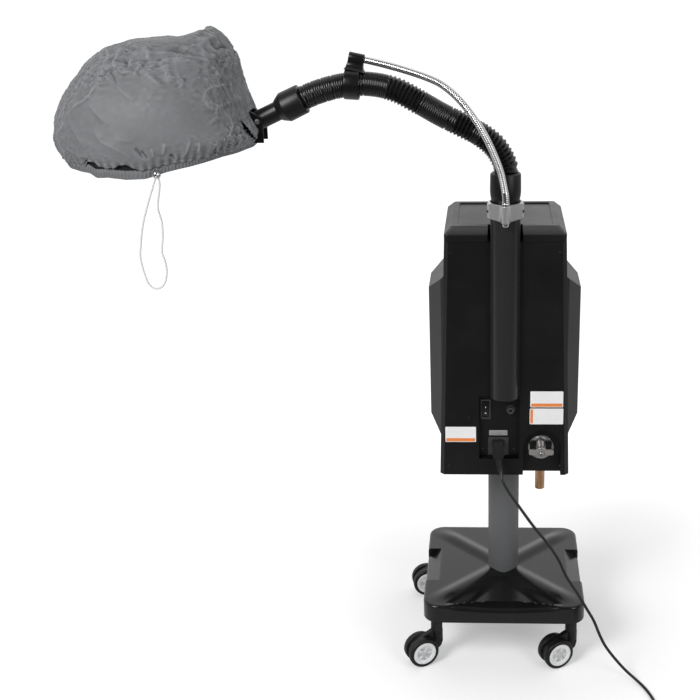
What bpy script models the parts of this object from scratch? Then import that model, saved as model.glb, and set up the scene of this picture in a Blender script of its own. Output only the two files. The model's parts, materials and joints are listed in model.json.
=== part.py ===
"""Hair steamer: boiler housing on a column with casters, steam hose, gooseneck and soft bonnet.

Metres, Z up. The pieces are placed from the foot of the column axis: the floor is Z = 0, the
rear side with the mains inlet and the drain valve faces -Y, and the bonnet hangs towards -X.
At the end the whole object is set with the middle of its floor area on the origin.
"""

import math

import bmesh
import bpy
from mathutils import Matrix, Vector

# Clearance between pieces that touch or run in each other
CLEARANCE = 0.0003

# Base
BASE_SIDE = 0.386
BASE_CORNER = 0.038
BASE_BOTTOM = 0.127
BASE_HEIGHT = 0.045
BASE_WALL = 0.004
BASE_EDGE_ROUND = 0.006
BASE_CAVITY_DEPTH = 0.0155
RIDGE_WIDTH = 0.040
RIDGE_RISE = 0.007
RIDGE_END_MARGIN = 0.030
HOLLOW_HALF_WIDTH = 0.138
HOLLOW_DEPTH = 0.018
HOLLOW_RIM = 0.007
HOLLOW_ARCH = 0.020
SCOOP_LENGTH = 0.150
SCOOP_WIDTH = 0.035
SCOOP_DEPTH = 0.022
PLATE_THICKNESS = 0.008
PLATE_LIFT = 0.003

# Casters
CASTER_INSET_X = 0.030
CASTER_INSET_Y = 0.040
CASTER_TRAIL = 0.042
CASTER_SWIVEL_NEAR = 27.0
CASTER_SWIVEL_FAR = 12.0
WHEEL_DIAMETER = 0.075
WHEEL_WIDTH = 0.017
WHEEL_SHOULDER = 0.005
WHEEL_DISH_DIAMETER = 0.060
WHEEL_DISH_DEPTH = 0.003
WHEEL_PLAY = 0.0006
FORK_WEB = 0.012
FORK_RIM_GAP = 0.0045
FORK_NECK_DIAMETER = 0.027
FORK_NECK_FOOT = 0.060
AXLE_DIAMETER = 0.008
STEM_DIAMETER = 0.011
SOCKET_DIAMETER = 0.028
SOCKET_FOOT = 0.085

# Column
COLUMN_DIAMETER = 0.075
COLUMN_WALL = 0.003
COLUMN_LENGTH = 0.430

# Housing
COLUMN_IN_HOUSING = 0.0713
HOUSING_HEIGHT = 0.556
HOUSING_REAR = -0.142
HOUSING_SPLIT = -0.100
HOUSING_FRONT = 0.125
HOUSING_WALL = 0.0035
HOUSING_WIDTH_TOP = 0.265
HOUSING_WIDTH_BOTTOM = 0.297
REAR_EDGE_BEVEL = 0.009
FRONT_EDGE_BEVEL = 0.024
BULGE_STAND = 0.0315
BULGE_REAR = -0.078
BULGE_FRONT = 0.088
BULGE_LIFT = 0.050
BULGE_FOOT_SLOPE = 0.067
BULGE_DROP = 0.095
BULGE_HEAD_SLOPE = 0.034
BULGE_EDGE_BEVEL = 0.028

# Top cover
LID_SKIRT = 0.016
LID_CHAMFER_RISE = 0.014
LID_CHAMFER_SIDE = 0.015
LID_CHAMFER_REAR = 0.024
LID_PANEL_MARGIN = 0.014
LID_PANEL_DEPTH = 0.003
LID_NOTCH_WIDTH = 0.075

# Steam tube on the rear cover, and the spigot on its end
TUBE_DIAMETER = 0.065
TUBE_WALL = 0.0035
TUBE_LIFT = 0.197
TUBE_STAND = 0.042
SPIGOT_DIAMETER = 0.045
SPIGOT_FLANGE = 0.004
SPIGOT_LENGTH = 0.056
SPIGOT_TAIL = 0.030
STEAM_PIPE_DIAMETER = 0.025
STEAM_BORE = 0.021

# Recess with switch, fuse and mains inlet
RECESS_LEFT = -0.058
RECESS_RIGHT = 0.034
RECESS_LIFT = 0.041
RECESS_DEPTH = 0.012
SWITCH_X = -0.043
SWITCH_LIFT = 0.161
SWITCH_WIDTH = 0.023
SWITCH_HEIGHT = 0.048
SWITCH_RIM = 0.0035
SWITCH_FLANGE = 0.003
SWITCH_BODY_DEPTH = 0.024
ROCKER_TRAVEL = 14.0
FUSE_X = 0.014
FUSE_LIFT = 0.160
FUSE_CAP_DIAMETER = 0.016
FUSE_CAP_LENGTH = 0.010
FUSE_NUT_DIAMETER = 0.021
FUSE_BODY_DIAMETER = 0.012
FUSE_BODY_LENGTH = 0.030
INLET_X = -0.014
INLET_LIFT = 0.069
INLET_WIDTH = 0.047
INLET_HEIGHT = 0.045
INLET_FLANGE = 0.003
INLET_BODY_DEPTH = 0.026
INLET_MOUTH_DEPTH = 0.016
CONNECTOR_WIDTH = 0.027
CONNECTOR_HEIGHT = 0.034
CONNECTOR_LENGTH = 0.034
RELIEF_LENGTH = 0.036
RELIEF_DIAMETER = 0.014

# Drain pocket and valve
POCKET_X = 0.086
POCKET_WIDTH = 0.086
POCKET_HEIGHT = 0.113
POCKET_DEPTH = 0.019
VALVE_X = 0.084
VALVE_LIFT = 0.064
VALVE_PLATE_DIAMETER = 0.059
VALVE_PLATE_THICKNESS = 0.003
VALVE_WINDOW_WIDTH = 0.014
VALVE_WINDOW_HEIGHT = 0.022
VALVE_BONNET_DIAMETER = 0.018
VALVE_BONNET_LENGTH = 0.022
VALVE_BODY_SIDE = 0.034
STEM_PIN_DIAMETER = 0.008
HANDLE_SPAN = 0.056
HANDLE_ARM_HEIGHT = 0.013
HANDLE_ARM_THICKNESS = 0.007
HANDLE_HUB_DIAMETER = 0.027
HANDLE_HUB_LENGTH = 0.011
NUT_DIAMETER = 0.012
NUT_LENGTH = 0.007
DRAIN_PIPE_DIAMETER = 0.022
DRAIN_PIPE_WALL = 0.0015
DRAIN_PIPE_DROP = 0.052

# Boiler and heater
BOILER_DIAMETER = 0.150
BOILER_HEIGHT = 0.270
BOILER_WALL = 0.0025
BOILER_NECK_DIAMETER = 0.032
BOILER_NECK_LENGTH = 0.025
HEATER_DIAMETER = 0.124
HEATER_THICKNESS = 0.014
TRAY_THICKNESS = 0.004
TRAY_LIFT = 0.006
TRAY_SOCKET_WALL = 0.005
TRAY_SOCKET_CAP = 0.006

# Front controls
PANEL_WIDTH = 0.150
PANEL_HEIGHT = 0.190
PANEL_THICKNESS = 0.003
PANEL_DROP = 0.148
KNOB_DIAMETER = 0.044
KNOB_LENGTH = 0.020
KNOB_DROP = 0.183
KNOB_TRAVEL = 300.0
LAMP_DIAMETER = 0.012
LAMP_LENGTH = 0.004
LAMP_DROP = 0.098

# Collar and gooseneck
COLLAR_WALL = 0.0042
COLLAR_HEIGHT = 0.037
COLLAR_GRIP = 0.019
FERRULE_DIAMETER = 0.016
FERRULE_LENGTH = 0.052
GOOSENECK_DIAMETER = 0.0126
ARM_SWIVEL = 45.0

# Hose with its cuffs and nozzle pipe
HOSE_DIAMETER = 0.052
HOSE_BORE = 0.040
HOSE_RIB_DEPTH = 0.0032
HOSE_RIBS = 52
HOSE_STRAIGHT = 0.012
CUFF_DIAMETER = 0.066
CUFF_TAPER = 0.012
CUFF_LOWER_LENGTH = 0.076
CUFF_UPPER_LENGTH = 0.058
PIPE_DIAMETER = 0.040
PIPE_WALL = 0.003
PIPE_SLOPE = 24.8
PIPE_IN_CUFF = 0.045
PIPE_PAST_PIVOT = 0.010
ARM_REACH = 0.513
ARM_RISE = 0.1937
CUFF_TO_PIVOT = 0.045
CLIP_LENGTH = 0.030
CLIP_WALL = 0.0045
CLIP_SLEEVE_DIAMETER = 0.019
CLIP_SLEEVE_LENGTH = 0.034
CLIP_SLEEVE_AHEAD = 0.0115
CLIP_NECK_RISE = 0.012
CLIP_REACH = 0.617

# Bonnet
BONNET_OFFSET = 0.220
BONNET_HALF_LENGTH = 0.212
BONNET_HALF_DEPTH = 0.198
BONNET_HEM_DROP = 0.083
BONNET_BELLY_DROP = 0.031
BONNET_CROWN_RISE = 0.177
BONNET_SQUARENESS = 2.5
BONNET_LEAN = 0.075
BONNET_HEM_RISE = 0.075
BONNET_HEM_PULL = 0.90
BONNET_WALL = 0.003
BONNET_FOLDS = 10
BONNET_FOLD_DEPTH = 0.006
BONNET_WINDOW_MARGIN = 0.010
BRACKET_OFFSET = 0.040
BRACKET_PLATE_THICKNESS = 0.004
BRACKET_SPAN = 0.120
BRACKET_HEIGHT = 0.078
BRACKET_EAR = 0.004
BRACKET_EAR_PLAY = 0.0006
BRACKET_HOLE = 0.034
PIVOT_BOLT_DIAMETER = 0.006
PIVOT_HEAD_DIAMETER = 0.012
PIVOT_HEAD_LENGTH = 0.004
HOOP_DIAMETER = 0.005
HOOP_GAP = 0.018
TILT_DOWN = -18.0
TILT_UP = 25.0

# Drawstring
STRING_DIAMETER = 0.004
LOCK_DIAMETER = 0.017
LOCK_HEM_ANGLE = -80.0

# Mains cord: route points by hand in millimetres, then a coil for the length put away
CORD_DIAMETER = 0.007
CORD_ROUTE_MM = (
    (-4, -189, 505), (8, -192, 481), (37, -194, 437), (67, -195, 392), (98, -195, 350),
    (125, -196, 307), (146, -198, 260), (171, -200, 219), (193, -203, 180), (212, -206, 146),
    (228, -209, 106), (243, -213, 77), (268, -218, 44), (292, -227, 20), (312, -241, 8),
    (328, -264, 4.6), (340, -294, 4.6), (348, -326, 4.9), (353, -360, 5.2),
)
CORD_STEP = 0.0165
COIL_TURNS_PER_LAYER = 2.25
COIL_MEAN_DIAMETER = 0.077
COIL_PITCH = 0.0077
COIL_POINTS_PER_TURN = 24
COIL_LIFT = 0.0018
TIE_WIDTH = 0.010
TIE_THICKNESS = 0.001
TIE_PLAY = 0.0010
TIE_ANGLE = 20.0
PLUG_LENGTH = 0.042
PLUG_WIDTH = 0.034
PLUG_HEIGHT = 0.022
PLUG_RELIEF = 0.022
PLUG_PIN_LENGTH = 0.019
PLUG_PIN_DIAMETER = 0.0048
PLUG_PIN_SPACING = 0.019

# Gooseneck and hose routes by hand, in thousandths of the arm's reach: X, Y from the ferrule (gooseneck
# only), and the height over the straight line from the hose's foot to the pivot
GOOSENECK_ROUTE = (
    (-8, 0, -91.6635), (-27, 0, -15.3969), (-53, 0, 57.4943), (-88, 2, 128.6172), (-125, 10, 181.347),
    (-172, 25, 231.1119), (-216, 41, 267.4663), (-267, 57, 286.4452), (-333, 70, 302.4768),
    (-409, 78, 311.5435), (-483, 78, 318.0031),
)
HOSE_ROUTE = (
    (-14, 32.1575), (-47, 75.6733), (-103, 109.6698), (-175, 134.5224), (-257, 159.4101), (-353, 195.547),
    (-433, 222.8277), (-511, 230.5014), (-597, 219.6031), (-678, 193.6873), (-750, 160.54),
)
STRING_ROUTE_MM = (
    (-3.4, -8.2), (-8, -20), (-23, -58), (-38, -102), (-47, -145), (-50, -170), (-46, -199), (-39, -224), (-27, -234),
    (-13, -231), (-3, -216), (1, -194), (-1, -174), (-5, -158), (-1, -130), (1, -98), (-4, -66), (2, -34),
    (4.4, -18), (3.4, -8.2),
)

MM = 0.001
ROUND_STEPS = 24
SMALL_STEPS = 12

# Sizes that follow from the ones above
BASE_TOP = BASE_BOTTOM + BASE_HEIGHT
PLATE_BOTTOM = BASE_BOTTOM + PLATE_LIFT
PLATE_TOP = PLATE_BOTTOM + PLATE_THICKNESS
CASTER_X = BASE_SIDE / 2 - CASTER_INSET_X
CASTER_Y = BASE_SIDE / 2 - CASTER_INSET_Y
WHEEL_RADIUS = WHEEL_DIAMETER / 2
COLUMN_FOOT = PLATE_TOP + CLEARANCE
COLUMN_HEAD = COLUMN_FOOT + COLUMN_LENGTH
HOUSING_BOTTOM = COLUMN_HEAD - COLUMN_IN_HOUSING
HOUSING_TOP = HOUSING_BOTTOM + HOUSING_HEIGHT
BULGE_HALF_WIDTH = (HOUSING_WIDTH_TOP + HOUSING_WIDTH_BOTTOM) / 4 + BULGE_STAND
BULGE_FOOT = HOUSING_BOTTOM + BULGE_LIFT
BULGE_LOW = BULGE_FOOT + BULGE_FOOT_SLOPE
BULGE_HEAD = HOUSING_TOP - BULGE_DROP
BULGE_HIGH = BULGE_HEAD - BULGE_HEAD_SLOPE
TUBE_FOOT = HOUSING_BOTTOM + TUBE_LIFT
RECESS_LOW = HOUSING_BOTTOM + RECESS_LIFT
SWITCH_Z = HOUSING_BOTTOM + SWITCH_LIFT
FUSE_Z = HOUSING_BOTTOM + FUSE_LIFT
INLET_Z = HOUSING_BOTTOM + INLET_LIFT
POCKET_TOP = HOUSING_BOTTOM + POCKET_HEIGHT
VALVE_Z = HOUSING_BOTTOM + VALVE_LIFT
PANEL_CENTRE_Z = HOUSING_TOP - PANEL_DROP
KNOB_Z = HOUSING_TOP - KNOB_DROP
LAMP_Z = HOUSING_TOP - LAMP_DROP
TRAY_BOTTOM = HOUSING_BOTTOM + TRAY_LIFT
TRAY_SEAT = COLUMN_HEAD + CLEARANCE + TRAY_SOCKET_CAP
HEATER_BOTTOM = TRAY_SEAT + CLEARANCE
BOILER_BOTTOM = HEATER_BOTTOM + HEATER_THICKNESS + CLEARANCE
BOILER_MOUTH = BOILER_BOTTOM + BOILER_HEIGHT + BOILER_NECK_LENGTH
LID_BOTTOM = HOUSING_TOP + CLEARANCE
LID_SHOULDER = LID_BOTTOM + LID_SKIRT
LID_TOP = LID_SHOULDER + LID_CHAMFER_RISE
ARM_Y = HOUSING_REAR
TUBE_TOP = LID_TOP + TUBE_STAND
PIVOT_X = -ARM_REACH
PIVOT_Z = TUBE_TOP + ARM_RISE
ARM_UNIT = ARM_REACH / 1000
CLIP_X = -ARM_REACH * CLIP_REACH
BONNET_X = PIVOT_X - BONNET_OFFSET
BONNET_HEM_Z = PIVOT_Z - BONNET_HEM_DROP
BONNET_BELLY_Z = PIVOT_Z - BONNET_BELLY_DROP
BONNET_CROWN_Z = PIVOT_Z + BONNET_CROWN_RISE
BRACKET_PLATE_X = PIVOT_X - BRACKET_OFFSET
RECESS_HIGH = TUBE_FOOT + TUBE_WALL / 3
RECESS_FLOOR = HOUSING_REAR + RECESS_DEPTH
RECESS_BACK = RECESS_FLOOR + HOUSING_WALL
POCKET_FLOOR = HOUSING_REAR + POCKET_DEPTH
POCKET_BACK = POCKET_FLOOR + HOUSING_WALL
COLLAR_INNER = TUBE_DIAMETER / 2 + CLEARANCE
COLLAR_OUTER = COLLAR_INNER + COLLAR_WALL
COLLAR_BOTTOM = TUBE_TOP - COLLAR_GRIP
FERRULE_Y = ARM_Y - COLLAR_OUTER - FERRULE_DIAMETER / 2 - CLEARANCE
FERRULE_BOTTOM = COLLAR_BOTTOM - 0.008
SPIGOT_SEAT = TUBE_TOP + CLEARANCE + SPIGOT_FLANGE
CUFF_LOWER_BOTTOM = SPIGOT_SEAT + CLEARANCE
CUFF_LOWER_TOP = CUFF_LOWER_BOTTOM + CUFF_LOWER_LENGTH
HOSE_FOOT = CUFF_LOWER_TOP + CLEARANCE + HOSE_STRAIGHT
PIPE_AXIS = Vector((-math.cos(math.radians(PIPE_SLOPE)), 0.0, -math.sin(math.radians(PIPE_SLOPE))))
PIVOT = Vector((PIVOT_X, ARM_Y, PIVOT_Z))
CUFF_UPPER_END = PIVOT - PIPE_AXIS * CUFF_TO_PIVOT
CUFF_UPPER_START = CUFF_UPPER_END - PIPE_AXIS * CUFF_UPPER_LENGTH
COIL_TURNS = 2 * COIL_TURNS_PER_LAYER + 0.5
COIL_OUTER = COIL_MEAN_DIAMETER / 2 + COIL_PITCH * COIL_TURNS / 4
COIL_INNER = COIL_OUTER - COIL_PITCH * COIL_TURNS / 2
COIL_LOW = CORD_DIAMETER / 2 + COIL_LIFT
COIL_HIGH = COIL_LOW + COIL_PITCH

# Nodes of the free cords and of what is on them, left out of the object's floor area
CORD_NODES = (
    "appliance_connector", "mains_cord", "mains_cord_coil", "coil_tie", "mains_plug",
    "drawstring", "cord_lock",
)


def clear_scene():
    for old in list(bpy.data.objects):
        bpy.data.objects.remove(old, do_unlink=True)


def empty(name, location, parent=None, turn=0.0):
    holder = bpy.data.objects.new(name, None)
    holder.location = location
    holder.rotation_euler = (0.0, 0.0, math.radians(turn))
    holder.parent = parent
    bpy.context.scene.collection.objects.link(holder)
    return holder


def finish(name, colour, roughness, metallic=0.0):
    surface = bpy.data.materials.new(name)
    surface.use_nodes = True
    shader = surface.node_tree.nodes["Principled BSDF"]
    shader.inputs["Base Color"].default_value = (*colour, 1.0)
    shader.inputs["Roughness"].default_value = roughness
    shader.inputs["Metallic"].default_value = metallic
    return surface


BLACK = ((0.018, 0.018, 0.019), 0.42)
SATIN_BLACK = ((0.030, 0.031, 0.033), 0.38)
GREY_PAINT = ((0.100, 0.104, 0.108), 0.45)
TYRE = ((0.014, 0.014, 0.014), 0.70)
STEEL = ((0.50, 0.50, 0.50), 0.35, 1.0)
CHROME = ((0.80, 0.80, 0.81), 0.10, 1.0)
ALUMINIUM = ((0.62, 0.62, 0.62), 0.32, 1.0)
NICKEL = ((0.52, 0.50, 0.48), 0.30, 1.0)
COPPER = ((0.66, 0.36, 0.19), 0.28, 1.0)
FABRIC = ((0.235, 0.240, 0.245), 0.70)
WHITE_CORD = ((0.78, 0.78, 0.77), 0.80)
LENS = ((0.70, 0.16, 0.05), 0.15)


def link(name, mesh, look, parent, offset=(0.0, 0.0, 0.0)):
    node = bpy.data.objects.new(name, mesh)
    node.location = offset
    node.parent = parent
    if mesh.materials:
        mesh.materials.clear()
    mesh.materials.append(finish(name, *look))
    bpy.context.scene.collection.objects.link(node)
    return node


def to_mesh(shape, name, sharp=38.0):
    bmesh.ops.recalc_face_normals(shape, faces=shape.faces[:])
    mesh = bpy.data.meshes.new(name)
    shape.to_mesh(mesh)
    shape.free()
    mesh.shade_smooth()
    mesh.set_sharp_from_angle(angle=math.radians(sharp))
    return mesh


def moved(shape, matrix):
    bmesh.ops.transform(shape, matrix=matrix, verts=shape.verts[:])
    return shape


def along_y(x, z, towards_rear=True):
    """Matrix that lays a shape made on +Z along -Y, or +Y, at the given X and Z."""
    quarter = math.radians(90.0 if towards_rear else -90.0)
    return Matrix.Translation((x, 0.0, z)) @ Matrix.Rotation(quarter, 4, "X")


def along(start, direction):
    """Matrix that lays a shape made on +Z along the direction, from the start."""
    return Matrix.Translation(start) @ direction.to_track_quat("Z", "Y").to_matrix().to_4x4()


def prism(outline, low, high, axis="Z"):
    """Closed solid of a flat outline, drawn out along an axis from low to high."""
    place = {
        "X": lambda u, v, w: (w, u, v),
        "Y": lambda u, v, w: (u, w, v),
        "Z": lambda u, v, w: (u, v, w),
    }[axis]
    shape = bmesh.new()
    ring = [shape.verts.new(place(u, v, low)) for u, v in outline]
    face = shape.faces.new(ring)
    drawn = bmesh.ops.extrude_face_region(shape, geom=[face])
    top = [item for item in drawn["geom"] if isinstance(item, bmesh.types.BMVert)]
    bmesh.ops.translate(shape, verts=top, vec=Vector(place(0.0, 0.0, high - low)))
    bmesh.ops.recalc_face_normals(shape, faces=shape.faces[:])
    return shape


def block(x, y, z):
    """Box between two limits on each axis."""
    return prism(((x[0], y[0]), (x[1], y[0]), (x[1], y[1]), (x[0], y[1])), z[0], z[1])


def turned(profile, steps=ROUND_STEPS, ring=False):
    """Solid turned about Z from (radius, height) points; a ring's profile closes on itself."""
    shape = bmesh.new()
    points = [shape.verts.new((radius, 0.0, height)) for radius, height in profile]
    for first, second in zip(points, points[1:]):
        shape.edges.new((first, second))
    if ring:
        shape.edges.new((points[-1], points[0]))
    bmesh.ops.spin(
        shape, geom=shape.verts[:] + shape.edges[:], cent=(0, 0, 0), axis=(0, 0, 1), dvec=(0, 0, 0),
        angle=math.tau, steps=steps, use_merge=True, use_duplicate=False,
    )
    bmesh.ops.remove_doubles(shape, verts=shape.verts[:], dist=1e-6)
    bmesh.ops.recalc_face_normals(shape, faces=shape.faces[:])
    return shape


def rod(radius, low, high, steps=ROUND_STEPS):
    return turned(((0.0, low), (radius, low), (radius, high), (0.0, high)), steps)


def pipe(radius, bore, low, high, steps=ROUND_STEPS):
    return turned(((bore, low), (radius, low), (radius, high), (bore, high)), steps, ring=True)


def rounded_rectangle(width, depth, corner, steps=5):
    outline = []
    for sx, sy, start in ((1, 1, 0), (-1, 1, 90), (-1, -1, 180), (1, -1, 270)):
        for step in range(steps + 1):
            angle = math.radians(start + 90.0 * step / steps)
            outline.append((
                sx * (width / 2 - corner) + corner * math.cos(angle),
                sy * (depth / 2 - corner) + corner * math.sin(angle),
            ))
    return outline


def bevel(shape, edges, width, segments=2):
    bmesh.ops.bevel(
        shape, geom=edges, offset=width, offset_type="OFFSET", segments=segments, profile=0.5,
        affect="EDGES", clamp_overlap=True, material=-1,
    )


def edges_where(shape, test):
    return [edge for edge in shape.edges if all(test(vert.co) for vert in edge.verts)]


def combine(target, operation, tools):
    """Add one exact Boolean to the target for each tool shape; the tools stay as hidden guides."""
    for number, shape in enumerate(tools):
        guide_name = f"{target.name}_{operation.lower()}_{number}_{len(target.modifiers)}"
        guide = bpy.data.objects.new(guide_name, to_mesh(shape, guide_name))
        guide.parent = target.parent
        guide.location = target.location
        guide.hide_render = True
        guide.display_type = "WIRE"
        bpy.context.scene.collection.objects.link(guide)
        change = target.modifiers.new(guide_name, "BOOLEAN")
        change.operation = operation
        change.solver = "EXACT"
        change.object = guide


def add(target, *tools):
    combine(target, "UNION", tools)


def cut(target, *tools):
    combine(target, "DIFFERENCE", tools)


def smooth_route(points, step):
    """Points about one step apart on a smooth curve through the route's own points."""
    ends = [points[0] * 2 - points[1]] + list(points) + [points[-1] * 2 - points[-2]]
    fine = []
    for before, start, stop, after in zip(ends, ends[1:], ends[2:], ends[3:]):
        for part in range(24):
            t = part / 24
            fine.append(0.5 * (
                2 * start + (stop - before) * t
                + (2 * before - 5 * start + 4 * stop - after) * t * t
                + (3 * start - before - 3 * stop + after) * t ** 3
            ))
    fine.append(points[-1])
    reach = [0.0]
    for first, second in zip(fine, fine[1:]):
        reach.append(reach[-1] + (second - first).length)
    count = max(2, round(reach[-1] / step))
    even = []
    place = 0
    for number in range(count + 1):
        goal = reach[-1] * number / count
        while place < len(fine) - 2 and reach[place + 1] < goal:
            place += 1
        share = (goal - reach[place]) / (reach[place + 1] - reach[place])
        even.append(fine[place].lerp(fine[place + 1], min(1.0, share)))
    return even


def route_length(points):
    return sum((second - first).length for first, second in zip(points, points[1:]))


def tube_curve(name, points, radius, resolution, radii=None):
    """Round tube with closed ends along a line of points."""
    curve = bpy.data.curves.new(name, "CURVE")
    curve.dimensions = "3D"
    curve.bevel_depth = radius
    curve.bevel_resolution = resolution
    curve.use_fill_caps = True
    spline = curve.splines.new("POLY")
    spline.points.add(len(points) - 1)
    for number, point in enumerate(points):
        spline.points[number].co = (*point, 1.0)
        spline.points[number].radius = radii[number] / radius if radii else 1.0
    return curve


def tube_mesh(name, points, radius, resolution, radii=None):
    """The same tube as a mesh, for cutting."""
    curve = tube_curve(name, points, radius, resolution, radii)
    holder = bpy.data.objects.new(name, curve)
    bpy.context.scene.collection.objects.link(holder)
    mesh = bpy.data.meshes.new_from_object(holder.evaluated_get(bpy.context.evaluated_depsgraph_get()))
    bpy.data.objects.remove(holder, do_unlink=True)
    shape = bmesh.new()
    shape.from_mesh(mesh)
    bmesh.ops.remove_doubles(shape, verts=shape.verts[:], dist=1e-6)
    bpy.data.meshes.remove(mesh)
    return shape


# Stand

def base_cover(parent):
    shape = prism(rounded_rectangle(BASE_SIDE, BASE_SIDE, BASE_CORNER), BASE_BOTTOM, BASE_TOP)
    rim = edges_where(shape, lambda co: co.z > BASE_TOP - 1e-6)
    bevel(shape, rim, BASE_EDGE_ROUND)
    cover = link("base_cover", to_mesh(shape, "base_cover"), SATIN_BLACK, parent)
    ridge_low = BASE_BOTTOM + BASE_HEIGHT / 2
    half = RIDGE_WIDTH / 2
    reach = (BASE_SIDE / 2 - RIDGE_END_MARGIN) * math.sqrt(2.0)
    section = (
        (-half, ridge_low), (half, ridge_low), (half, BASE_TOP), (half * 0.72, BASE_TOP + RIDGE_RISE * 0.7),
        (half * 0.3, BASE_TOP + RIDGE_RISE), (-half * 0.3, BASE_TOP + RIDGE_RISE),
        (-half * 0.72, BASE_TOP + RIDGE_RISE * 0.7), (-half, BASE_TOP),
    )
    for turn in (45.0, 135.0):
        add(cover, moved(prism(section, -reach, reach, "X"), Matrix.Rotation(math.radians(turn), 4, "Z")))
    cut(cover, rear_hollow(), side_scoop(1), side_scoop(-1))
    inner_side = BASE_SIDE - 2 * BASE_WALL
    cut(cover, prism(
        rounded_rectangle(inner_side, inner_side, BASE_CORNER - BASE_WALL),
        BASE_BOTTOM - 0.01, BASE_BOTTOM + BASE_CAVITY_DEPTH,
    ))
    cut(cover, rod(COLUMN_DIAMETER / 2 + CLEARANCE, BASE_BOTTOM, BASE_TOP + 2 * RIDGE_RISE))


def rear_hollow():
    """Wedge between the two rear ridges, deepest at the rear rim, with an arched outer edge."""
    inner_y = -COLUMN_DIAMETER / 2 - 0.012
    inner_half = 0.022
    outer_y = -BASE_SIDE / 2 + HOLLOW_RIM
    outline = [(-inner_half, inner_y), (-HOLLOW_HALF_WIDTH, outer_y + 0.004)]
    for step in range(1, 12):
        x = HOLLOW_HALF_WIDTH * (step / 6 - 1.0)
        outline.append((x, outer_y + HOLLOW_ARCH * (1.0 - (x / HOLLOW_HALF_WIDTH) ** 2)))
    outline += [(HOLLOW_HALF_WIDTH, outer_y + 0.004), (inner_half, inner_y)]
    shape = prism(outline, 0.0, BASE_TOP + 2 * RIDGE_RISE)
    for vert in shape.verts:
        if vert.co.z < BASE_BOTTOM:
            vert.co.z = BASE_TOP - HOLLOW_DEPTH * (inner_y - vert.co.y) / (inner_y - outer_y) - 0.003
    return shape


def side_scoop(side):
    """Wedge cut into the middle of a side edge, deepest at the outside."""
    outer = side * (BASE_SIDE / 2 + 0.001)
    inner = side * (BASE_SIDE / 2 - SCOOP_WIDTH)
    top = BASE_TOP + 2 * RIDGE_RISE
    outline = ((inner, BASE_TOP), (outer, BASE_TOP - SCOOP_DEPTH), (outer, top), (inner, top))
    return prism(outline, -SCOOP_LENGTH / 2, SCOOP_LENGTH / 2, "Y")


def caster_places():
    for x_name, x_side in (("left", -1), ("right", 1)):
        for y_name, y_side, turn in (("rear", -1, CASTER_SWIVEL_NEAR), ("front", 1, CASTER_SWIVEL_FAR)):
            yield f"{y_name}_{x_name}", x_side * CASTER_X, y_side * CASTER_Y, turn


def base_plate(parent):
    side = BASE_SIDE - 2 * (BASE_WALL + CLEARANCE)
    shape = prism(rounded_rectangle(side, side, BASE_CORNER - BASE_WALL), PLATE_BOTTOM, PLATE_TOP)
    plate = link("base_plate", to_mesh(shape, "base_plate"), BLACK, parent)
    for _, x, y, _ in caster_places():
        boss = rod(SOCKET_DIAMETER / 2, SOCKET_FOOT, PLATE_BOTTOM + PLATE_THICKNESS / 2, SMALL_STEPS)
        add(plate, moved(boss, Matrix.Translation((x, y, 0.0))))
    for _, x, y, _ in caster_places():
        bore = rod(STEM_DIAMETER / 2 + CLEARANCE, 0.0, PLATE_BOTTOM + PLATE_THICKNESS / 4, SMALL_STEPS)
        cut(plate, moved(bore, Matrix.Translation((x, y, 0.0))))


def column(parent):
    radius = COLUMN_DIAMETER / 2
    shape = pipe(radius, radius - COLUMN_WALL, COLUMN_FOOT, COLUMN_HEAD)
    link("column", to_mesh(shape, "column"), GREY_PAINT, parent)


def fork_mesh():
    """Hooded web between the two wheels, with the neck and the stem; the stem axis is at the origin."""
    rim = WHEEL_RADIUS - FORK_RIM_GAP
    neck = FORK_NECK_DIAMETER / 2
    top = SOCKET_FOOT - CLEARANCE
    points = [(-neck, top), (neck, top), (neck, WHEEL_RADIUS + 0.012), (neck * 0.7, WHEEL_RADIUS)]
    for step in range(13):
        angle = math.radians(40.0 + 290.0 * step / 12)
        points.append((-CASTER_TRAIL + rim * math.cos(angle), WHEEL_RADIUS + rim * math.sin(angle)))
    shape = bmesh.new()
    for u, w in points:
        shape.verts.new((u, -FORK_WEB / 2, w))
        shape.verts.new((u, FORK_WEB / 2, w))
    hull = bmesh.ops.convex_hull(shape, input=shape.verts[:])
    loose = [item for item in hull["geom_interior"] if isinstance(item, bmesh.types.BMVert)]
    bmesh.ops.delete(shape, geom=loose, context="VERTS")
    bmesh.ops.dissolve_limit(
        shape, angle_limit=math.radians(1.0), verts=shape.verts[:], edges=shape.edges[:],
    )
    return to_mesh(shape, "caster_fork")


def wheel_mesh():
    """Wheel on the X axis of its axle; its outer face, with the dished hub, is at +Y."""
    inner = FORK_WEB / 2 + WHEEL_PLAY
    outer = inner + WHEEL_WIDTH
    bore = AXLE_DIAMETER / 2 + CLEARANCE
    dish = WHEEL_DISH_DIAMETER / 2
    profile = (
        (bore, inner), (WHEEL_RADIUS - WHEEL_SHOULDER * 0.6, inner),
        (WHEEL_RADIUS, inner + WHEEL_SHOULDER * 0.6), (WHEEL_RADIUS, outer - WHEEL_SHOULDER),
        (WHEEL_RADIUS - WHEEL_SHOULDER * 0.3, outer - WHEEL_SHOULDER * 0.3),
        (WHEEL_RADIUS - WHEEL_SHOULDER, outer), (dish, outer),
        (dish - WHEEL_DISH_DEPTH, outer - WHEEL_DISH_DEPTH), (bore, outer - WHEEL_DISH_DEPTH),
    )
    shape = turned(profile, 20, ring=True)
    return to_mesh(moved(shape, Matrix.Rotation(math.radians(-90.0), 4, "X")), "caster_wheel")


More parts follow.
